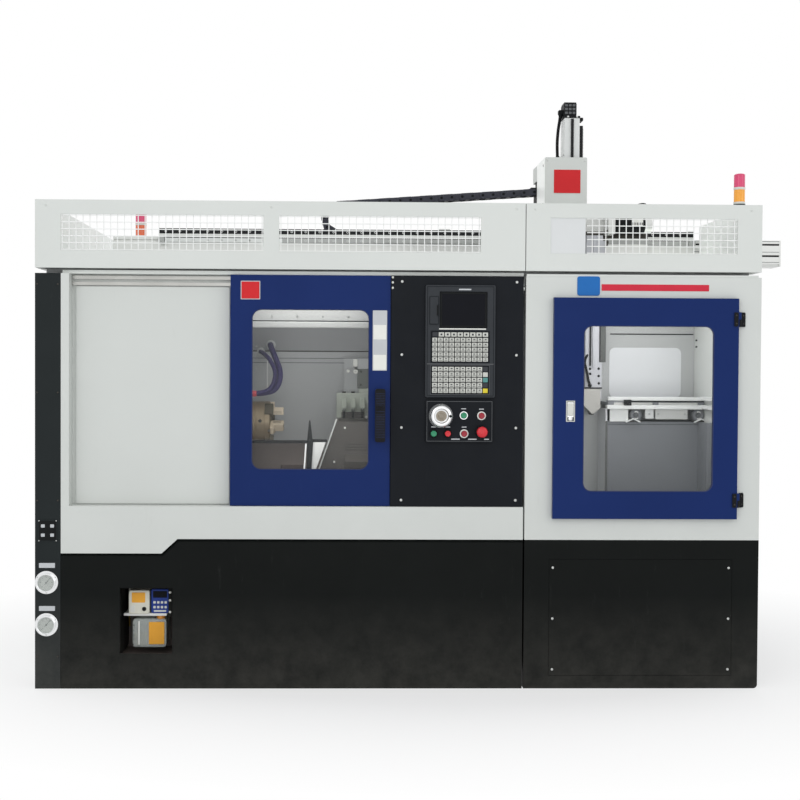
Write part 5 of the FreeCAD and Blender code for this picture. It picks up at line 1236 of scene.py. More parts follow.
class LATHE_OT_chuck(bpy.types.Operator):
    """Chuck with turned rings and key sockets, and its three stepped jaws"""
    bl_idname = "lathe.chuck"
    bl_label = "Chuck and jaws"

    def execute(self, context):
        depth, z = SPINDLE
        body = turned((0, depth, z), "x", [(758, 22.0), (758, 79.0), (760, 82.0), (778, 83.0), (779, 81.4),
                                           (782, 81.4), (783, 83.0), (812, 83.0), (813, 81.8), (816, 81.8),
                                           (817, 83.0), (832, 83.0), (837, 79.5), (838, 77.0), (838, 46.0),
                                           (837, 45.0), (837, 33.0), (838, 32.0), (838, 23.5), (836, 22.0),
                                           (758, 22.0)], "turned steel", 96, True)
        for index in range(JAWS):
            slot = block((828, 840), (depth - 9, depth + 9), (z + 24, z + 90), "dark steel")
            carve(body, about_spindle(slot, JAW_STEP * index))
        parts = [body]
        for index in range(JAWS):
            turn = JAW_STEP * index
            cover = rounded((815, 851), (depth - 27, depth + 27), (z + 62, z + 84.4), 3.0, "strip brown", 1.0, "z")
            parts.append(about_spindle(cover, 50.0 + turn))
            bolt = turned((CHUCK_FACE, depth, z + 62), "x", [(0.3, 6.5), (-1.2, 6.2), (-1.2, 4.0), (-4.0, 3.4)],
                          "dark steel", 18)
            parts.append(about_spindle(bolt, 74.0 + turn))
            socket = turned((797, depth, z + 83), "z", [(0.2, 9.0), (0.6, 8.0), (0.6, 5.4), (-3.0, 5.0)],
                            "dark steel", 4)
            parts.append(about_spindle(socket, 88.0 + turn))
        chuck = assemble("chuck_turned", parts, "spindle", 30.0)
        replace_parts(chuck, "chuck_body")
        for index in range(JAWS):
            parts = [about_spindle(part, JAW_STEP * index) for part in stepped_jaw()]
            jaw = assemble("jaw_stepped_%d" % (index + 1), parts, "jaw_%d" % (index + 1))
            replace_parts(jaw, "chuck_jaw_%d" % (index + 1))
        nose = [turned((700, depth, z), "x", [(0, 74.0), (14, 74.0), (18, 70.0), (40, 69.0), (42, 66.0)],
                       "dark steel", 72),
                turned((722, depth, z), "x", [(0, 92.0), (5, 91.0), (7, 88.0), (7, 75.0)], "ground steel", 72)]
        for index in range(8):
            bolt = turned((729, depth, z + 83), "x", [(0, 4.2), (3, 4.0), (3, 2.4), (1, 2.2)], "dark steel", 12)
            nose.append(about_spindle(bolt, 45.0 * index))
        assemble("spindle_nose", nose, "machine")
        return {"FINISHED"}


class LATHE_OT_chamber(bpy.types.Operator):
    """Header, rear bands, blade, light sheet, rails and lamp of the work chamber"""
    bl_idname = "lathe.chamber"
    bl_label = "Chamber fittings"

    def execute(self, context):
        parts = [rounded((722, 1318), (264, 272), (1381, 1534), 2.0, "header grey", 0.8, "x"),
                 rounded((722, 1318), (262, 276), (1353, 1377), 4.0, "header grey", 0.6, "x"),
                 block((723, 1317), (898.6, REAR_WALL), (1271, 1534), "band grey"),
                 block((722, 1318), (270, 276), (1377, 1381), "moulded black")]
        parts += [socket_screw(x, 264, 1396, 4.0) for x in range(760, 1300, 100)]
        parts.append(block((723, 1317), (898.2, REAR_WALL), (1266, 1271), "dark steel"))
        parts += [block((723, 1317), (898.8, REAR_WALL), (z, z + 2.4), "grey plastic") for z in (1236, 1216)]
        parts.append(rounded((806, 811), (896.0, REAR_WALL), (1075, 1226), 1.0, "pale aluminium"))
        parts += [socket_screw(x, REAR_WALL, z, 4.0) for x in (760, 1280) for z in (1290, 1500, 1190, 960)]
        parts += [sawn([(997, 735), (997, 893), (1006, 986), (1011, 986), (1022, 893), (1013, 735)],
                       (326, 336), "rail black", 0.6),
                  sawn([(981, 735), (987, 735), (997, 893), (991, 893)], (325, 337), "wire white", 0.4),
                  sawn([(1023, 902), (1073.4, 902), (1027.9, 771), (1011, 771)], (337, 343), "pale aluminium",
                       0.6),
                  block((1001, 1077.3), (335, 345), (899, 910), "rail black", 1.0),
                  rounded((722, 1001), (335, 345), (894, 906), 2.0, "rail black", 0.6),
                  rounded((724, 742), (300, 420), (1440, 1500), 8.0, "moulded black", 1.0, "x"),
                  rounded((742, 744), (308, 412), (1448, 1492), 6.0, "dial white", 0.4, "x")]
        parts += [washer_screw(722, depth, z, "right", 6.0) for depth in (120, 300, 460) for z in (640, 1420)]
        assemble("chamber_fittings", parts, "machine")
        return {"FINISHED"}


SLOPE = 30.0        # of the cross slide and its tools, in degrees
TOOLS = (1149, 1188, 1228)
TIP_DEPTH = 712


class LATHE_OT_tooling(bpy.types.Operator):
    """Tool block, tools with tips, screws and pipes of the cross slide, and its cover's trim"""
    bl_idname = "lathe.tooling"
    bl_label = "Tooling"

    def execute(self, context):
        parts = [rounded((1116, 1258.5), (783, 850), (978, 1086), 4.0, "block grey", 1.2),
                 rounded((1214, 1300), (785, 850), (1080, 1106), 3.0, "block grey", 1.0),
                 rounded((1256, 1300.6), (787, 850), (979, 1108), 3.0, "tool grey", 1.0),
                 rounded((1208, 1306.4), (798, 850), (1106, 1191), 4.0, "tool grey", 1.2),
                 rounded((1209, 1306.4), (799, 850), (1191, 1236.6), 3.0, "chamber grey", 0.8),
                 block((1149.4, 1306.4), (848.8, 850.2), (1086, 1236.6), "chamber grey", 0.3),
                 block((1138, 1238), (779, 783.5), (956, 1004), "slide brown", 1.0)]
        tip = SPINDLE[1] + (TIP_DEPTH - SPINDLE[0]) * math.tan(math.radians(SLOPE))
        for x in TOOLS:
            shank = [block((x - 10, x + 10), (722, 822), (tip - 10, tip + 10), "block grey", 0.8),
                     block((x - 8, x + 8), (TIP_DEPTH, 722.4), (tip - 5, tip + 5), "tool grey", 0.5)]
            parts += [spun(piece, (0, TIP_DEPTH, tip), "X", SLOPE) for piece in shank]
            parts += [turned((x, 815, 1086), "z", [(0, 8.6), (5, 8.4), (6, 7.0), (6, 4.4), (2, 4.0)],
                             "dark steel", 24),
                      block((x - 4, x + 4), (777.6, 784), (973, 1025), "rail black", 0.5)]
        parts.append(washer_screw(1247, 783, 981, "front", 6.0, "dial white"))
        parts += [socket_screw(x, 798, z, 4.6, "dark steel") for x in (1222, 1294) for z in (1122, 1180)]
        parts += [rounded((1189, 1208), (800, 850), (1201, 1234), 3.0, "dial white", 0.5),
                  turned((1199, 806, 1179), "d", [(0, 10), (-6, 10), (-8, 8.6), (-8, 6.0), (-2, 5.4)],
                         "dial white", 24),
                  pipe([(1199, 804, 1179), (1199, 830, 1182), (1199, 849, 1204)], 4.0, "zinc"),
                  turned((1166, 796, 1181.5), "d", [(0, 7), (-6, 6.4), (-8, 4)], "dial white", 16),
                  pipe([(1166, 796, 1181.5), (1166, 830, 1183), (1166, 850, 1190)], 3.4, "zinc")]
        tools = assemble("tool_block_skin", parts, "tool_slide")
        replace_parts(tools, "tool_holders")
        trim = [sawn([(1028.4, 742), (1034.4, 742), (1119.2, 986), (1113.2, 986)], (462.6, 464.2), "cabinet white",
                     0.5),
                rounded((1126, 1300.4), (468.6, 470.2), (976, 986.6), 1.0, "dark steel", 0.4)]
        trim += [socket_screw(x, 470, z, 4.4, "dial white") for x, z in ((1107, 810), (1256, 803), (1150, 950),
                                                                          (1256, 950))]
        trim += [block((1150, 1290), (469.2, 470.2), (z, z + 1.5), "moulded black") for z in (858, 870, 882)]
        assemble("slide_cover_trim", trim, "tool_slide")
        return {"FINISHED"}


# ---- stocker
# x of a pulley, x of its bent foot and how far the foot reaches to each side
PULLEYS = ((2371.0, 2357.0, (-29.0, 29.0)), (2634.0, 2645.0, (-29.0, 14.0)))


class LATHE_OT_stocker(bpy.types.Operator):
    """Rails, pulleys, feet, belt and sensor of the stocker's table, and its rear sheet with a pale plate painted
    in as the bright view through its window, a side sheet painted lighter against its shade and a dark strip
    painted as shade on that sheet's front edge
    """
    bl_idname = "lathe.stocker"
    bl_label = "Stocker fittings"

    def execute(self, context):
        parts = [rounded((2251, 2655), (539, 553), (1065.4, 1080.6), 2.0, "arm white", 0.8, "x"),
                 rounded((2245, 2655), (531, 560), (1029.4, 1046.6), 2.0, "arm white", 0.8, "x"),
                 block((2330, 2654), (541, 552), (1058.6, 1064.8), "moulded black", 0.5),
                 rounded((2252, 2655), (551.4, 553.4), (1047, 1057), 1.0, "pale aluminium"),
                 rounded((2260, 2329), (551, 600), (983.4, 1029.6), 3.0, "arm white", 0.8),
                 rounded((2454, 2590.6), (555, 641), (987, 1029.4), 5.0, "pale aluminium", 1.0),
                 rounded((2411, 2446.6), (555, 620), (989, 1029.4), 4.0, "arm white", 1.0),
                 rounded((2260, 2338), (549.4, 552), (977, 1029.6), 3.0, "arm white", 0.8),
                 rounded((2316, 2346.4), (528.6, 540.4), (1045, 1068.6), 2.0, "moulded black", 0.8),
                 block((2635, 2659.5), (440, 560), (560, 975), "table grey", 1.0)]
        parts += [rounded((2640, 2659.5), (440, 553), z, 2.0, "arm white", 0.8)
                  for z in ((1067.4, 1082.6), (1031, 1048))]
        parts += [turned((x, 528.6, 1056), "d", [(0, 3.6), (-1.4, 3.4), (-1.4, 2.0)], "screen", 16)
                  for x in (2324, 2337)]
        for x, foot, ends in PULLEYS:
            parts.append(turned((x, 0, 1004), "d", [(592, 26.4), (552, 26.4), (550.4, 25.0), (550.4, 21.0),
                                                    (553.0, 19.6), (553.0, 12.0), (549.0, 11.0), (545.4, 9.4),
                                                    (545.4, 3.0)], "grey plastic", 48))
            crescent = turned((x, 0, 1004), "d", [(551.0, 17.4), (549.4, 17.0), (549.4, 12.6), (551.0, 12.2),
                                                  (551.0, 17.4)], "pale aluminium", 48, True)
            saw(crescent, at(x - 6, 550, 1004), (-1.0, 0.0, 0.0))
            parts.append(saw(crescent, at(x + 9, 550, 1004), (1.0, 0.0, 0.0)))
            for end in ends:
                drop = 13.5 * abs(end) / 29.0
                parts.append(sawn([(foot, 991.5), (foot, 987), (foot + end, 987 - drop),
                                   (foot + end, 991.5 - drop)], (536, 600), "arm white", 0.4))
            parts.append(block((x - 26, x + 26), (552, 600), (976, 981), "dark steel", 0.6))
        parts += [block((2371, 2634), (556, 588), z, "black rubber") for z in ((1029.6, 1031.4), (977.2, 979.2))]
        parts += [washer_screw(x, 555, 1009, "front", 4.0) for x in (2466, 2578, 2428)]
        parts.append(block((2256, 2652), (558.8, 560), (964, 965.6), "moulded black"))
        assemble("table_skin", parts, "machine")
        wall = [block((1990, 2659), (703, 706), (560, 1535), "wall pale", 0.5),
                # pale plate painted in as the bright view through the rear window
                rounded((2291, 2602), (701.2, 703.4), (1074, 1289), 25.0, "pane white", 0.6),
                # side sheet painted lighter than the wall so that it still reads light in its shade
                block((2245, 2252.4), (560, 704), (560, 1030), "pane white", 0.5),
                # painted shade: dark strip over the side sheet's front edge, in place of the lit edge
                block((2244.6, 2254), (558.6, 560.2), (560, 978), "strip grey", 0.3),
                block((2294, 2655), (702.2, 703.4), (1345, 1350), "dial black"),
                rounded((2172, 2250), (702.2, 706), (560, 1534), 3.0, "wall pale", 0.5)]
        wall += [block((2655, 2660), (662, 672), (z, z + 7), "dial black") for z in (1290, 1318)]
        assemble("stocker_wall_fittings", wall, "machine")
        return {"FINISHED"}


# ---- gantry and loader
SLOT_LEFT = (161, 348)
SLOT_RIGHT = (2662, 3033)
RAIL_SCREWS = 38
BEAM_TEETH = 288
MOTOR_FINS = 15


class LATHE_OT_gantry(bpy.types.Operator):
    """Guide rails with screws, rack, slots, end cap, foot ribs and stops of the gantry beam"""
    bl_idname = "lathe.gantry"
    bl_label = "Gantry beam"

    def execute(self, context):
        parts = [rounded((350, 2660), (728.8, 738.6), (1757.4, 1791.4), 2.5, "rail black", 0.6, "x"),
                 rounded((880, 2660), (714.8, 728), (1730, 1750.4), 2.5, "rail grey", 0.6, "x"),
                 rounded((350, 880), (715, 728), (1730.2, 1750.2), 2.5, "arm white", 0.6, "x"),
                 block((350, 880), (714.4, 720), (1749.0, 1752.6), "strip grey", 0.3),
                 block((350, 2660), (726.8, 728.8), (1756.4, 1768), "pale aluminium", 0.3)]
        for z, depth in ((1779.0, 728.8), (1740.0, 714.8)):
            screw = turned((380, depth, z), "d", [(0.2, 5.2), (-0.8, 5.0), (-0.8, 3.0), (1.6, 2.6)], "zinc", 12)
            parts.append(repeated(screw, RAIL_SCREWS, (60, 0, 0)))
        parts.append(block((350, 2660), (721, 728), (1750, 1752.4), "dark steel", 0.4))
        tooth = block((352, 355.4), (721, 728), (1751.6, 1756), "dark steel", 0.8)
        parts.append(repeated(tooth, BEAM_TEETH, (8.0, 0, 0)))
        for x, z in ((SLOT_LEFT, (1749.0, 1753.0)), (SLOT_RIGHT, (1735.6, 1742.4)),
                     (SLOT_LEFT, (1686.6, 1693.4)), (SLOT_RIGHT, (1686.6, 1693.4))):
            parts.append(block(x, (731.6, 733.8), z, "dial black"))
        parts += [block(SLOT_RIGHT, (727.4, 728.4), (z, z + 2), "grey plastic") for z in (1662, 1706, 1752)]
        parts.append(rounded((3033, 3039.2), (727, 843), (1645.2, 1757.8), 3.0, "pale aluminium", 0.8, "x"))
        for x in (290.0, 1600.0, 2480.0):
            parts += [washer_screw(x + shift, depth, 1553, "up", 10.0) for shift in (-15, 145)
                      for depth in (766, 866)]
            rib = sawn([(x + 55, 1553), (x + 75, 1553), (x + 75, 1640), (x + 55, 1640)], (842, 874),
                       "pale aluminium", 1.0)
            parts.append(saw(rib, at(x, 874, 1558), (0.0, 0.94, 0.34)))
        assemble("beam_fittings", parts, "machine")
        stops = [rounded((x, x + 26), (694, 728), (1727, 1754), 4.0, "rail grey", 1.0) for x in (352, 2632)]
        assemble("end_stops", stops, "machine")
        return {"FINISHED"}


class LATHE_OT_carriage(bpy.types.Operator):
    """Motor, gearbox, pinion and runners of the carriage, and the seams of the loader's cover, with a thin sheet
    on the cover's left face painted with a glow as light
    """
    bl_idname = "lathe.carriage"
    bl_label = "Carriage"

    def execute(self, context):
        parts = [turned((0, 655, 1812), "x", [(2291, 37.0), (2296, 40.0), (2306, 40.0), (2308, 37.4), (2420, 37.4),
                                              (2422, 35.0), (2448, 34.0), (2452, 30.0)], "moulded black", 48)]
        fin = turned((2314, 655, 1812), "x", [(0, 38.8), (3.2, 38.8), (3.2, 36.8), (0, 36.8), (0, 38.8)],
                     "moulded black", 48, True)
        parts += [repeated(fin, MOTOR_FINS, (7.0, 0, 0)),
                  rounded((2362, 2410), (616.6, 618), (1802, 1840), 3.0, "dial white", 0.4),
                  rounded((2424, 2446), (630, 676), (1846, 1872), 4.0, "moulded black", 1.0, "x"),
                  pipe([(2435, 653, 1870), (2435, 653, 1895), (2420, 676, 1905), (2380, 700, 1890),
                        (2300, 740, 1880), (2160, 780, 1900)], 6.0, "black rubber"),
                  rounded((2261, 2291), (611, 701), (1769, 1856), 5.0, "pale aluminium", 1.2, "x")]
        parts += [washer_screw(2261, depth, z, "left", 5.0, "dark steel") for depth in (624, 688)
                  for z in (1782, 1842)]
        parts.append(turned((2255, 700, 1740), "d", [(0, 26), (-6, 26), (-8, 24), (-8, 12), (-14, 11)],
                            "dark steel", 40))
        parts += [rounded((x, x + 70), (711, 728.6), (1725, 1756), 3.0, "ground steel", 0.8, "x")
                  for x in (2010, 2370)]
        parts += [block((2062, 2451), (697.6, 700), (1758, 1787), "dark steel", 0.5),
                  block((2062, 2451), (697.9, 700), (1733, 1752), "rail grey", 0.4)]
        parts += [washer_screw(x, 700, z, "front", 6.0, "dark steel")
                  for x in (2180, 2240, 2310, 2370, 2440) for z in (1618, 1660)]
        parts += border((1985, 2452), (698.9, 700), (1604, 1860), 5.0, "pale aluminium")
        assemble("carriage_fittings", parts, "carriage")
        seams = [block((1980.4, 1981.4), (566, 740), (1822, 1824), "table grey"),
                 # thin sheet on the cover's left face with a painted glow, standing in for light falling on that
                 # face
                 block((1980.2, 1981.2), (561.2, 751), (1817.5, 2078.5), "cover side", 0.3)]
        seams += [rounded((2062, 2155), depth, (2078, 2081), 1.0, "black rubber", 0.3)
                  for depth in ((574, 580), (698, 704))]
        seams.append(block((2062, 2154), (577, 587), (1745, 1774), "dark steel", 0.8))
        seams += [rounded(x, (577, 586), (1773, 1817), 2.0, "arm white", 0.6)
                  for x in ((2064, 2078), (2138, 2152))]
        seams += [washer_screw(2158, depth, z, "right", 6.0) for depth in (590, 830) for z in (1890, 2050)]
        seams += [washer_screw(1981, 590, z, "left", 6.0) for z in (1890, 2050)]
        assemble("cover_seams", seams, "carriage")
        return {"FINISHED"}


def arm_dress(x, half, rail_z, rack_x, rack_z):
    """Guide rail with screws and rack of one arm stage; half is half the rail's width."""
    middle = (x[0] + x[1]) / 2
    pitch = bpy.context.scene.lathe_sizes.rack_pitch / MM
    parts = [rounded((middle - half, middle + half), (592.2, 600.2), rail_z, 1.5, "rail black", 0.4, "z"),
             rounded((rack_x[0], rack_x[1] + 0.5), (625, 657), rack_z, 2.0, "rail black", 0.5, "z")]
    screw = turned((middle, 592.4, rail_z[0] + 20), "d", [(0, 3.4), (-0.6, 3.2), (-0.6, 1.8), (1.0, 1.6)],
                   "rail black", 10)
    parts.append(repeated(screw, int((rail_z[1] - rail_z[0] - 30) // 40), (0, 0, 40)))
    tooth = block((rack_x[1] - 0.5, rack_x[1] + 3.4), (628, 654), (rack_z[0] + 4, rack_z[0] + 4 + pitch * 0.5),
                  "ground steel", 0.7)
    parts.append(repeated(tooth, int((rack_z[1] - rack_z[0] - 8) // pitch), (0, 0, pitch)))
    return parts


SWIVEL = (2201, 0, 1085)


class LATHE_OT_arms(bpy.types.Operator):
    """Rails, racks, plug, sensors and gripper parts of the two-stage arm"""
    bl_idname = "lathe.arms"
    bl_label = "Loader arm"

    def execute(self, context):
        parts = arm_dress((2070, 2133), 5.6, (1592, 2248), (2133, 2152), (1626, 2225))
        parts.append(rounded((2068.6, 2121.4), (608, 682), (2262, 2317), 5.0, "moulded black", 1.2))
        parts += [rounded((2072 + 16 * i, 2084 + 16 * i), (606.4, 608.4), z, 1.5, "grey plastic", 0.4)
                  for i in range(3) for z in ((2270, 2280), (2286, 2296), (2302, 2311))]
        parts += [rounded((2068, 2135), (598, 692), (2252, 2261), 2.0, "moulded black", 0.8),
                  rounded((2132, 2152), (620, 668), (2244, 2258), 3.0, "moulded black", 0.8)]
        parts += [turned((x, 598, 2256.5), "d", [(0, 4), (-5, 4), (-6, 2.4)], "zinc", 16) for x in (2121, 2083)]
        parts += [washer_screw(2070, depth, z, "left", 5.0) for depth in (612, 678)
                  for z in range(1540, 2240, 140)]
        assemble("upper_arm_fittings", parts, "arm_upper")
        parts = arm_dress((2137, 2235.5), 3.4, (1210, 1590), (2236, 2251), (1227, 1590))
        parts += [rounded((2224.5, 2229.5), (598.4, 600.4), (1225, 1590), 1.0, "rail black", 0.3),
                  rounded((2229.5, 2252), (598.0, 600.6), (1225, 1592), 0.8, "strip grey", 0.3)]
        parts += [turned((x, 600, z), "d", [(0.2, 5.6), (-0.6, 5.4), (-1.2, 3.6)], "dial black", 16)
                  for x, z in ((2186, 1197), (2187, 1176), (2223, 1198), (2223, 1167), (2224, 1136))]
        parts += [pipe([(2176, 604, 1256), (2166, 596, 1244), (2161, 593, 1222), (2166, 592, 1204),
                        (2172, 587, 1176), (2176, 588, 1150), (2185, 592, 1130), (2186, 601, 1126)], 5.5,
                       "black rubber"),
                  turned((2186, 600, 1127), "d", [(0, 8), (-5, 7.6), (-7, 6)], "moulded black", 20),
                  block((2158, 2236.6), (594.0, 690.6), (1113.5, 1119.0), "dial black", 0.4),
                  sawn([(2150, 1112), (2229, 1112), (2229, 1031), (2196, 1005), (2150, 1052)], (588, 600.4),
                       "head grey", 0.8)]
        assemble("lower_arm_fittings", parts, "arm_lower")
        parts = [turned(SWIVEL, "d", [(592.6, 17.0), (590.6, 16.0), (590.6, 9.0), (592.0, 8.4), (592.0, 4.0)],
                        "dark steel", 32),
                 turned(SWIVEL, "d", [(692, 17.0), (696, 16.0), (696, 8.0)], "dark steel", 32)]
        assemble("swivel_pin", parts, "arm_lower")
        parts = [sawn([(2186, 1046), (2216, 1046), (2226, 1060), (2176, 1060)], (609.2, 680.8),
                      "ground steel", 0.8),
                 rounded((2174, 2228), (640, 650), (1042.6, 1046), 1.0, "dark steel", 0.4)]
        assemble("slideway", parts, "swivel_head")
        for name, body, low, high in (("front_pad", "finger_front", 621, 636),
                                      ("rear_pad", "finger_rear", 654, 669)):
            depth = (low - 0.6, high + 0.6)
            pad = [sawn([(2187, 1026), (2215, 1026), (2206.6, 1001.4), (2195.4, 1001.4)], depth, "dark steel",
                        0.8),
                   rounded((2186, 2216), depth, (1026, 1040.4), 1.5, "ground steel", 0.8)]
            pad += [washer_screw(x, depth[0], 1033, "front", 3.0, "dark steel") for x in (2193, 2209)]
            assemble(name, pad, body)
        return {"FINISHED"}


# x, depth and lowest z of a tower, its radius and the finish of its lower lens
TOWERS = ((2632, 60, 1819, 20.0, "lens amber"), (231, 1000, 1775, 23.5, "lens orange"))
LENS_RIBS = 8


class LATHE_OT_towers(bpy.types.Operator):
    """Ribbed lenses, caps, feet and post of the two signal towers"""
    bl_idname = "lathe.towers"
    bl_label = "Signal towers"

    def execute(self, context):
        parts = []
        for x, depth, low, size, lower in TOWERS:
            foot = (x, depth, 0)
            parts.append(turned(foot, "z", [(low - 7, size + 2.4), (low + 2, size + 2.4), (low + 3, size + 1)],
                                "moulded black", 40))
            for bottom, paint in ((low + 11, lower), (low + 66, "lens red")):
                profile = [(bottom, size + 0.6)]
                for index in range(LENS_RIBS):
                    rib = bottom + 5.5 * index
                    profile += [(rib + 2, size + 0.9), (rib + 4.6, size + 0.2)]
                parts.append(turned(foot, "z", profile + [(bottom + 46, size + 0.6)], paint, 40))
            for bottom, top in ((low + 3, low + 11), (low + 57, low + 66)):
                parts.append(turned(foot, "z", [(bottom, size + 1.1), (bottom + 0.8, size + 1.5),
                                                (top - 0.8, size + 1.5), (top, size + 1.1)], "pale plastic", 40))
            parts.append(turned(foot, "z", [(low + 112, size + 1), (low + 114, size + 0.4), (low + 117, size - 4),
                                            (low + 118, 6.0)], "lens red", 40))
        parts.append(turned((231, 1000, 0), "z", [(1545, 14.0), (1548, 12.0), (1769, 10.6), (1775, 13.0)],
                            "zinc", 24))
        parts += [washer_screw(231 + a, 1000 + b, 1545, "up", 5.0) for a in (-20, 20) for b in (-20, 20)]
        assemble("tower_lenses", parts, "machine", 40.0)
        return {"FINISHED"}


class LATHE_OT_guard(bpy.types.Operator):
    """Folded window edges, mesh frames and screws of the guard"""
    bl_idname = "lathe.guard"
    bl_label = "Guard"

    def execute(self, context):
        parts = []
        for x0, x1 in ((92.4, 841.6), (897.5, 1648.9), (1906.2, 2609.5)):
            parts += border((x0 - 0.6, x1 + 0.6), (-0.2, 3.4), (1623.9, 1760.6), 2.2, "guard white", 0.6)
            parts += border((x0 - 9, x1 + 9), (8.6, 11.0), (1615.5, 1769), 9.0, "guard white", 0.5)
        parts += [socket_screw(x, 0.0, 1790, 4.0, "guard white") for x in (40, 870, 1780, 1850, 2660)]
        assemble("guard_edges", parts, "machine")
        return {"FINISHED"}


# ---- back and ends
DOOR_ROWS = (600, 1470)
GRILLE_ROWS = (1290, 1410)
ROOF_TOP = 1541
GLANDS = 5


def sheet(across, seam, plate, z, gap, edge=0.8, axis="d"):
    """Cover sheet over a dark seam; seam and plate are their reaches along the axis."""
    low, high = across
    parts = []
    for reach, grow, finish in ((seam, gap, "dial black"), (plate, -gap, "cabinet white")):
        wide = (low - grow, high + grow)
        x, depth = (reach, wide) if axis == "x" else (wide, reach)
        rows = (z[0] - grow, z[1] + grow)
        parts.append(rounded(x, depth, rows, 4.0, finish, edge, axis) if reach is plate
                     else block(x, depth, rows, finish))
    return parts


def grille(across, face, way, axis, stand=3.6):
    """Louvred grille on an outer face; way is the outward sign, stand how far the blades reach out."""
    count = bpy.context.scene.lathe_sizes.louvre_count
    left, right = across
    bottom, top = GRILLE_ROWS
    pitch = (top - bottom) / count

    def slab(wide, reach, height, finish, edge=0.0):
        """Block on the face, reaching out from it."""
        span = sorted((face, face + way * reach))
        x, depth = (wide, span) if axis == "d" else (span, wide)
        return block(x, depth, height, finish, edge)

    blade = slab(across, stand, (bottom + pitch * 0.38, bottom + pitch), "cabinet white", 0.6)
    parts = [slab(across, 0.5, GRILLE_ROWS, "dial black"), repeated(blade, count, (0, 0, pitch))]
    bars = [((left - 9, right + 9), rows) for rows in ((bottom - 9, bottom + 1), (top - 1, top + 9))]
    bars += [(wide, GRILLE_ROWS) for wide in ((left - 9, left + 1), (right - 1, right + 9))]
    return parts + [slab(wide, stand * 0.65, rows, "cabinet white", 0.6) for wide, rows in bars]


class LATHE_OT_back(bpy.types.Operator):
    """Cabinet doors, grilles, glands, switch, seams and lifting eyes of the back, the ends and the roof"""
    bl_idname = "lathe.back"
    bl_label = "Back and ends"

    def execute(self, context):
        parts = []
        for x0, x1, grip in ((70, 640, 612), (650, 1220, 678)):
            parts += sheet((x0, x1), (1493.6, 1494.3), (1494, 1496.6), DOOR_ROWS, 1.5, 0.9)
            parts += grille((x0 + 70, x1 - 70), 1496.4, 1, "d")
            for z in (780, 1280):
                parts += [rounded((grip - 12, grip + 12), (1496.4, 1497.6), (z - 32, z + 32), 5.0,
                                  "moulded black", 0.4),
                          rounded((grip - 6, grip + 6), (1497.4, 1499.8), (z - 24, z + 24), 3.0,
                                  "moulded black", 0.8)]
            hinge = x0 + 8 if grip > (x0 + x1) / 2 else x1 - 8
            parts += [turned((hinge, 1497, z), "z", [(0, 2.8), (70, 2.8)], "moulded black", 16)
                      for z in (660, 1010, 1340)]
        for x0, x1, (z0, z1), face in ((1300, 1790, DOOR_ROWS, 1494), (1850, 2640, DOOR_ROWS, 1488),
                                       (70, 1220, (60, 540), 1494), (1300, 1790, (60, 540), 1494)):
            parts += sheet((x0, x1), (face - 0.4, face + 0.3), (face, face + 2.4), (z0, z1), 1.2)
            parts += [washer_screw(x, face + 1.4, z, "back", 6.0)
                      for x in (x0 + 16, (x0 + x1) / 2, x1 - 16) for z in (z0 + 16, z1 - 16)]
        parts += grille((1960, 2200), 1490.2, 1, "d") + grille((2290, 2530), 1490.2, 1, "d")
        parts += [rounded((1480, 1610), (1496.2, 1497.4), (1180, 1310), 6.0, "plain pale", 0.5),
                  turned((1545, 1497.2, 1245), "d", [(0, 34), (1.2, 33.4), (1.2, 24.0), (2.2, 23.0)],
                         "key yellow", 48),
                  rounded((1536, 1554), (1498.6, 1499.8), (1222, 1268), 4.0, "plain red", 0.5)]
        parts += [turned((1400 + 62 * index, 1496.2, 668), "d",
                         [(0, 17), (1.6, 16.6), (1.6, 11.0), (3.4, 10.6), (3.4, 6.0)],
                         "moulded black" if index % 2 else "zinc", 24) for index in range(GLANDS)]
        assemble("back_panels", parts, "machine")

        ends = sheet((300, 1320), (4.6, 5.3), (2.6, 5), DOOR_ROWS, 1.5, axis="x")
        for across in ((420, 760), (860, 1200)):
            ends += grille(across, 2.8, -1, "x", 2.6)
        ends += sheet((220, 1400), (2699.6, 2700.4), (2700, 2702.4), DOOR_ROWS, 1.5, axis="x")
        for across in ((380, 720), (900, 1240)):
            ends += grille(across, 2702.2, 1, "x")
        ends += [washer_screw(2702.2, depth, z, "right", 6.0) for depth in (240, 810, 1380) for z in (620, 1450)]
        ends.append(block((2699.8, 2700.6), (120, 1400), (60, 62), "dial black"))
        ends += [washer_screw(2700, depth, z, "right", 6.0) for depth in (100, 750, 1400) for z in (90, 520)]
        assemble("end_panels", ends, "machine")

        eyes = []
        for x in (140, 1240, 1900, 2560):
            ready()
            bpy.ops.mesh.primitive_torus_add(major_radius=0.020, minor_radius=0.005, major_segments=32,
                                             minor_segments=12, location=at(x, 1300, ROOF_TOP + 29),
                                             rotation=(math.pi / 2, 0.0, 0.0))
            eyes += [settle(bpy.context.object, "zinc"),
                     turned((x, 1300, ROOF_TOP), "z", [(0, 17), (3, 17), (5, 10), (11, 8)], "zinc", 24)]
        eyes += [washer_screw(x, depth, ROOF_TOP, "up", 7.0)
                 for x in (60, 480, 900, 1320, 1760, 1870, 2260, 2650) for depth in (980, 1430)]
        eyes.append(block((700, 702), (760, 1459), (ROOF_TOP, 1541.8), "table grey"))
        assemble("roof_fittings", eyes, "machine")
        return {"FINISHED"}


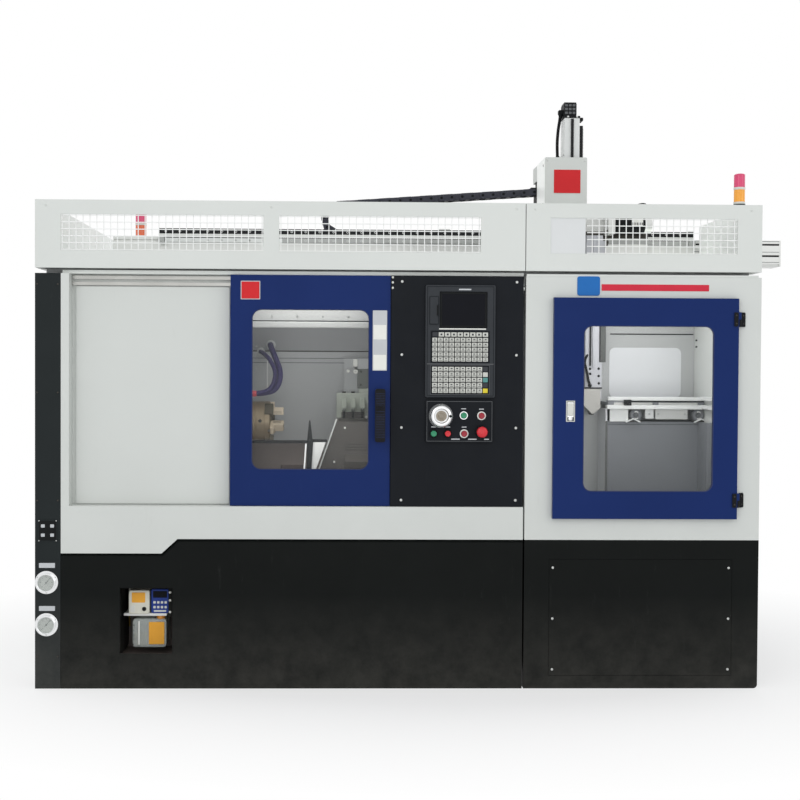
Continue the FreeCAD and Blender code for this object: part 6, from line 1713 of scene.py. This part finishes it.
# ---- lubricator
class LATHE_OT_lubricator(bpy.types.Operator):
    """Pump, timer box, filler cap, tank and pipes behind the window of the base"""
    bl_idname = "lathe.lubricator"
    bl_label = "Lubricator"

    def execute(self, context):
        parts = [rounded((338, 416), (47, 150), (269, 358), 8.0, "ivory plastic", 2.0),
                 rounded((350, 400), (45.4, 47.4), (312, 350), 3.0, "label amber", 0.4),
                 rounded((344, 362), (45.8, 47.4), (276, 300), 3.0, "pale plastic", 0.4),
                 turned((396, 47, 288), "d", [(0, 8), (-3, 7.6), (-5, 6.4), (-5, 2)], "moulded black", 24),
                 rounded((422, 488), (50, 150), (271, 362), 6.0, "pump blue", 2.0),
                 rounded((429, 481), (48.8, 50.4), (330, 355), 2.0, "screen", 0.4)]
        parts += [rounded((x, x + 9), (47.6, 50.4), z, 2.0, "pale plastic", 0.5)
                  for x in (430, 444, 458, 472) for z in ((308, 317), (290, 299))]
        parts += [rounded((432, 478), (49.2, 50.2), (277, 283), 1.0, "pale plastic"),
                  rounded((318, 480), (56, 64), (260, 271), 3.0, "pale aluminium", 0.8),
                  turned((456, 74, 0), "z", [(247, 14.0), (249, 16.0), (258, 16.0), (261, 14.4), (263, 10.0)],
                         "cap amber", 32)]
        parts += [socket_screw(494, 40.0, z, 4.6, "dial white") for z in (278, 322, 352)]
        parts.append(block((488, 500), (40, 210), (262, 372), "base black"))
        parts.append(pipe([(348, 150, 340), (330, 150, 340), (318, 170, 320), (316, 196, 260), (316, 205, 190)],
                          4.0, "brass"))
        parts.append(turned((345, 150, 340), "x", [(0, 7), (-8, 7), (-9, 5)], "brass", 6))
        assemble("lubricator_skin", parts, "machine")
        tank = [rounded((350, 478), (61, 192), (140, 247), 12.0, "clear tank", 2.0),
                rounded((372, 378), (59.6, 61.4), (150, 240), 2.0, "dial white", 0.4),
                rounded((412, 470), (59.4, 61.4), (152, 236), 3.0, "label amber", 0.4)]
        tank += [block((352, 358), (60.0, 61.2), (z, z + 1.4), "dial black") for z in range(150, 240, 18)]
        tank.append(rounded((356, 472), (68, 186), (146, 196), 8.0, "oil", 0.5))
        assemble("tank_skin", tank, "machine")
        edge = border((311, 509.5), (-1.2, 0.4), (129, 377), 2.6, "base black", 0.5)
        edge.append(block((300, 312), (20, 210), (120, 385), "base black"))
        assemble("niche_edge", edge, "machine")
        return {"FINISHED"}


# ---- panel and registration
PIECES = (
    LATHE_OT_finishes,
    LATHE_OT_stage,
    LATHE_OT_hoses,
    LATHE_OT_arm_cable,
    LATHE_OT_drag_chain,
    LATHE_OT_gauges,
    LATHE_OT_cover_screws,
    LATHE_OT_plates,
    LATHE_OT_control_unit,
    LATHE_OT_buttons,
    LATHE_OT_doors,
    LATHE_OT_chuck,
    LATHE_OT_chamber,
    LATHE_OT_tooling,
    LATHE_OT_stocker,
    LATHE_OT_gantry,
    LATHE_OT_carriage,
    LATHE_OT_arms,
    LATHE_OT_towers,
    LATHE_OT_guard,
    LATHE_OT_back,
    LATHE_OT_lubricator,
)


class LATHE_PT_panel(bpy.types.Panel):
    """Operators and settings of the lathe"""
    bl_label = "Lathe"
    bl_idname = "LATHE_PT_panel"
    bl_space_type = "VIEW_3D"
    bl_region_type = "UI"
    bl_category = "Lathe"

    def draw(self, context):
        column = self.layout.column(align=True)
        for piece in PIECES:
            column.operator(piece.bl_idname)
        for group in (context.scene.lathe_colours, context.scene.lathe_sizes):
            for name in group.bl_rna.properties.keys():
                if name not in ("rna_type", "name"):
                    self.layout.prop(group, name)


CLASSES = (LATHE_PG_colours, LATHE_PG_sizes, LATHE_PT_panel) + PIECES


def register():
    for item in CLASSES:
        bpy.utils.register_class(item)
    bpy.types.Scene.lathe_colours = bpy.props.PointerProperty(type=LATHE_PG_colours)
    bpy.types.Scene.lathe_sizes = bpy.props.PointerProperty(type=LATHE_PG_sizes)


def unregister():
    del bpy.types.Scene.lathe_sizes
    del bpy.types.Scene.lathe_colours
    for item in reversed(CLASSES):
        bpy.utils.unregister_class(item)


def main():
    """Dress the lathe."""
    register()
    for piece in PIECES:
        group, name = piece.bl_idname.split(".")
        getattr(getattr(bpy.ops, group), name)()


if __name__ == "__main__":
    main()
